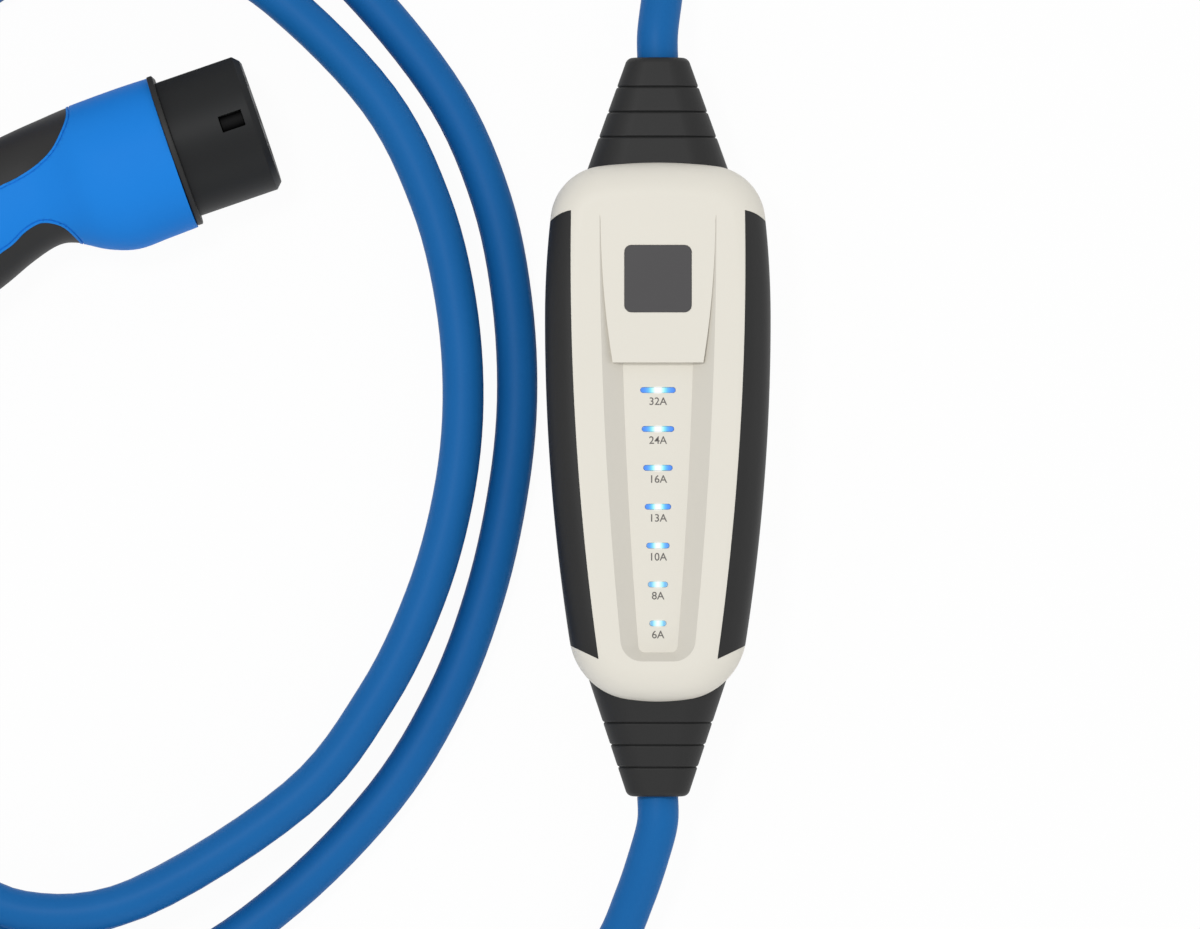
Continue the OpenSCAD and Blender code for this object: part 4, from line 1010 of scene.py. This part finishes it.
plug_red = moulded("plug_red", colour(170, 34, 27), colour(184, 42, 33), 0.4, 1400, 0.05)
pins = [(-pin_circle_r * math.sin(a), -pin_circle_r * math.cos(a), live_pin_r if a else earth_pin_r)
        for a in (math.radians(72 * i) for i in range(5))]
carrier = plug_turned("plug_carrier", [
    (98.1, 26.6), (102.3, 26.6), (102.3, 30.6), (113.2, 30.6), (113.8, 30.4), (114, 29.8)])
for y, z, r in pins:
    carve(carrier, plug_turned("pin_way", [(92, r + gap), (118, r + gap)], y, z, 48))
    carve(carrier, plug_turned("pin_ring", [(113.3, r + 1.2), (118, r + 1.6)], y, z, 48))
carrier_grey = moulded("carrier_grey", colour(54, 57, 62), colour(62, 65, 70), 0.5, 1200, 0.05)
place_piece(soften(carrier, 0.2, 2, 40), carrier_grey, "plug_dark", "pin_carrier")


def plated(name, tint, roughness, grain, stretch):
    """Plated metal: fine turning marks, drawn out round the piece, in its gloss and its skin."""
    finish = Finish(bpy.data.materials.new(name))
    place = finish.node("Mapping", None, {
        "Vector": finish.node("TexCoord", None, None, "Object"), "Scale": stretch})
    marks = finish.node("TexNoise", None, {"Vector": place, "Scale": grain, "Detail": 5, "Roughness": 0.7})
    cloud = finish.node("TexNoise", None, {"Vector": place, "Scale": grain / 30, "Detail": 3})
    worn = tuple(c * 0.8 for c in tint[:3]) + (1,)
    return finish.shade(
        Base_Color=finish.blend(cloud, worn, tint), Metallic=1,
        Roughness=roughness + (marks - 0.5) * 0.2,
        Normal=finish.node("Bump", None, {"Strength": 0.2, "Distance": 0.02 * mm, "Height": marks}))


pin_plated = plated("pin_plated", colour(214, 215, 217), 0.28, 2400, (1, 0.15, 0.15))


def eight_sided(across, most):
    """An octagon's radius with its corners turned off, as a function of the angle."""
    def radius(a):
        turn = (a + math.pi / 8) % (math.pi / 4) - math.pi / 8
        return min(across / 2 * math.cos(math.pi / 8) / math.cos(math.pi / 8 - abs(turn)), most)
    return radius


gland_w = 40
gland = plug_turned("plug_gland", [(0.02, 17)] + [(u, eight_sided(gland_w, most)) for u, most in (
    (0.02, 18.2), (0.5, 18.9), (1.6, 19.6), (20.4, 19.6), (21.5, 18.9), (22, 18.2))] + [
    (22, 16.9), (25.6, 16.9), (25.9, 16.6), (26, 16)], count=192)
carve(gland, plug_turned("bore", [(-2, 9.2), (0.6, 8.4), (1.4, 8.15), (30, 8.15)], count=48))
place_piece(smooth(gland, 20), plug_dark, "plug_dark", "gland_nut")


# The strap that holds the coil's three turns: woven tape laid in a loop, with its end folded back
# on top and stitched down by two rows at each end of the fold.
strap_from, strap_to, strap_y, strap_z = -397, -357, -45, 10.6
strap_w, strap_t, loop_r = 20, 2, 8.4


def across_strap(name, plan, half):
    """A body over a plan that is seen along the cable."""
    return loft(name, [[(x, strap_y + y, z) for x, z in plan] for y in (-half, half)])


def strap_loop(name, r, half):
    return across_strap(name, long_round(strap_from, strap_to, strap_z, r, 24), half)


strap = strap_loop("tie_strap", loop_r + strap_t, strap_w / 2)
carve(strap, strap_loop("inside", loop_r, strap_w))
soften(strap, 0.6, 3)
strap_top = strap_z + loop_r + strap_t
fold = across_strap("fold", [(x, strap_top + z) for x, z in (
    (-391, -0.6), (-361, -0.6), (-361, 1.3), (-361.7, 1.8), (-363, 1.9), (-389, 1.9), (-390.3, 1.8),
    (-391, 1.3))], strap_w / 2 - 0.3)
strap = join(strap, soften(fold, 0.5, 3))
weave = Finish(bpy.data.materials.new("strap_weave"))
place = weave.node("TexCoord", None, None, "Object")
x, y, z = weave.split(place)
thread_pitch = 0.9 * mm
turn = 2 * math.pi / thread_pitch
threads = (y * turn).math("SINE") * ((x + z) * turn).math("SINE") * 0.5 + 0.5
fuzz = weave.node("TexNoise", None, {"Vector": place, "Scale": 2600, "Detail": 3})
selvedge = weave.node("MapRange", None, {
    "Value": abs(y - strap_y * mm), "From Min": 8.6 * mm, "From Max": 8.9 * mm, "To Min": 0, "To Max": 1})
lightness = threads * 0.7 + fuzz * 0.3 - selvedge * 0.25
relief = threads * 0.8 + fuzz * 0.2
strap_cloth = weave.shade(
    Base_Color=weave.blend(lightness, colour(24, 25, 27), colour(58, 60, 64)),
    Roughness=0.8 + fuzz * 0.15,
    Normal=weave.node("Bump", None, {"Strength": 0.7, "Distance": 0.25 * mm, "Height": relief}))
place_piece(strap, strap_cloth, "strap_fabric", "coil_tie")

stitches = None
stitch_pitch, stitch_rows = 2.3, (-388.6, -386.6, -365.4, -363.4)
for x in stitch_rows:
    for i in range(8):
        y = strap_y + stitch_pitch * (i - 3.5)
        stitch = loft("tie_stitches", [
            [(x + across, y + u, strap_top + 1.95 + 0.6 * up) for across, up in round_plan(0, 0, r, 8)]
            for u, r in ((-0.95, 0.12), (-0.8, 0.3), (-0.4, 0.38), (0.4, 0.38), (0.8, 0.3), (0.95, 0.12))])
        stitches = join(stitches, smooth(stitch, 60))
thread = moulded("stitch_thread", colour(96, 98, 102), colour(120, 122, 126), 0.75, 4200, 0.08)
place_piece(stitches, thread, "strap_fabric")


# The case screws: plated pan heads with a cross recess at the bottom of their wells. They hold
# both halves of the case together from behind.
screws = None
for x, y in screw_places:
    screw = loft("screw_heads", [at_height(round_plan(x, y, r, 48), z) for z, r in (
        (2.9, 2.2), (2.96, 2.7), (3.2, 3.1), (3.7, 3.3), (4.9, 3.3), (4.95, 1.74), (38.6, 1.74), (40, 0.6))])
    for long, wide in ((1.9, 0.45), (0.45, 1.9)):
        carve(screw, prism("cross", [(x + sx * long, y + sy * wide) for sx, sy in corners], 2, 4.2))
    screws = join(screws, smooth(screw, 40))
screw_plated = plated("screw_plated", colour(188, 190, 194), 0.34, 2200, (1, 1, 0.2))
place_piece(screws, screw_plated, "screw_steel", "case_screws")


# The pieces that stay as the CAD made them: what lies inside the case, the connector's contacts,
# the plug's shroud and pins, and the cable ends inside their boots, each with its own finish.
board = Finish(bpy.data.materials.new("board_resist"))
place = board.node("TexCoord", None, None, "Object")
tracks = board.node("TexBrick", {"offset": 0.37, "squash": 1.6}, {
    "Vector": place, "Scale": 150, "Color1": colour(16, 92, 56), "Color2": colour(22, 104, 64),
    "Mortar": colour(40, 132, 84), "Mortar Size": 0.03})
vias = board.node("TexVoronoi", {"feature": "F1"}, {"Vector": place, "Scale": 260})
via = vias.math("LESS_THAN", vias, 0.14)
board_resist = board.shade(
    Base_Color=board.blend(via, tracks, colour(190, 160, 92)), Roughness=0.3 + via * 0.15,
    Normal=board.node("Bump", None, {"Strength": 0.3, "Distance": 0.03 * mm, "Height": tracks}))
cores = Finish(bpy.data.materials.new("core_jackets"))
place = cores.node("TexCoord", None, None, "Object")
lane = cores.split(place)[0] * 40 + 0.5
skin = cores.node("TexNoise", None, {"Vector": place, "Scale": 1400, "Detail": 2})
jackets = cores.node("ValToRGB", {"stops": [
    (0.0, colour(96, 56, 30)), (0.3, colour(40, 40, 42)), (0.45, colour(60, 130, 60)),
    (0.6, colour(120, 120, 122)), (0.8, colour(40, 90, 160))]}, {0: lane})
core_jackets = cores.shade(
    Base_Color=cores.blend(skin * 0.3, jackets, colour(20, 20, 20)), Roughness=0.4 + skin * 0.1,
    Normal=cores.node("Bump", None, {"Strength": 0.2, "Distance": 0.03 * mm, "Height": skin}))
component_dark = moulded("component_dark", colour(36, 40, 46), colour(46, 50, 56), 0.4, 1200, 0.05)
terminal_green = moulded("terminal_green", colour(54, 118, 76), colour(66, 130, 88), 0.42, 1200, 0.05)
clamp_grey = moulded("clamp_grey", colour(68, 68, 68), colour(78, 78, 78), 0.5, 1200, 0.06)
seal_rubber = moulded("seal_rubber", colour(24, 24, 24), colour(32, 32, 32), 0.6, 1000, 0.06)
lamp_white = moulded("lamp_white", colour(240, 240, 238), colour(248, 248, 246), 0.3, 1600, 0.02)
contact_plated = plated("contact_plated", colour(206, 206, 208), 0.3, 2400, (0.4, 0.4, 1))
for names, finish in (
        ("light_board main_board", board_resist),
        ("supply_cores vehicle_cores", core_jackets),
        ("relays current_sensor supply_module", component_dark),
        ("supply_terminals vehicle_terminals", terminal_green),
        ("supply_cable_clamp vehicle_cable_clamp", clamp_grey),
        ("shell_seal", seal_rubber),
        ("status_leds", lamp_white),
        ("power_contacts signal_contacts", contact_plated),
        ("live_pins earth_pin", pin_plated),
        ("plug_shroud", plug_red),
        ("light_board_screws board_screws clamp_screws", screw_plated),
        ("supply_cable_end vehicle_cable_end connector_cable_end plug_cable_end", cable_blue)):
    for name in names.split():
        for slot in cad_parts[name].material_slots:
            slot.material = finish
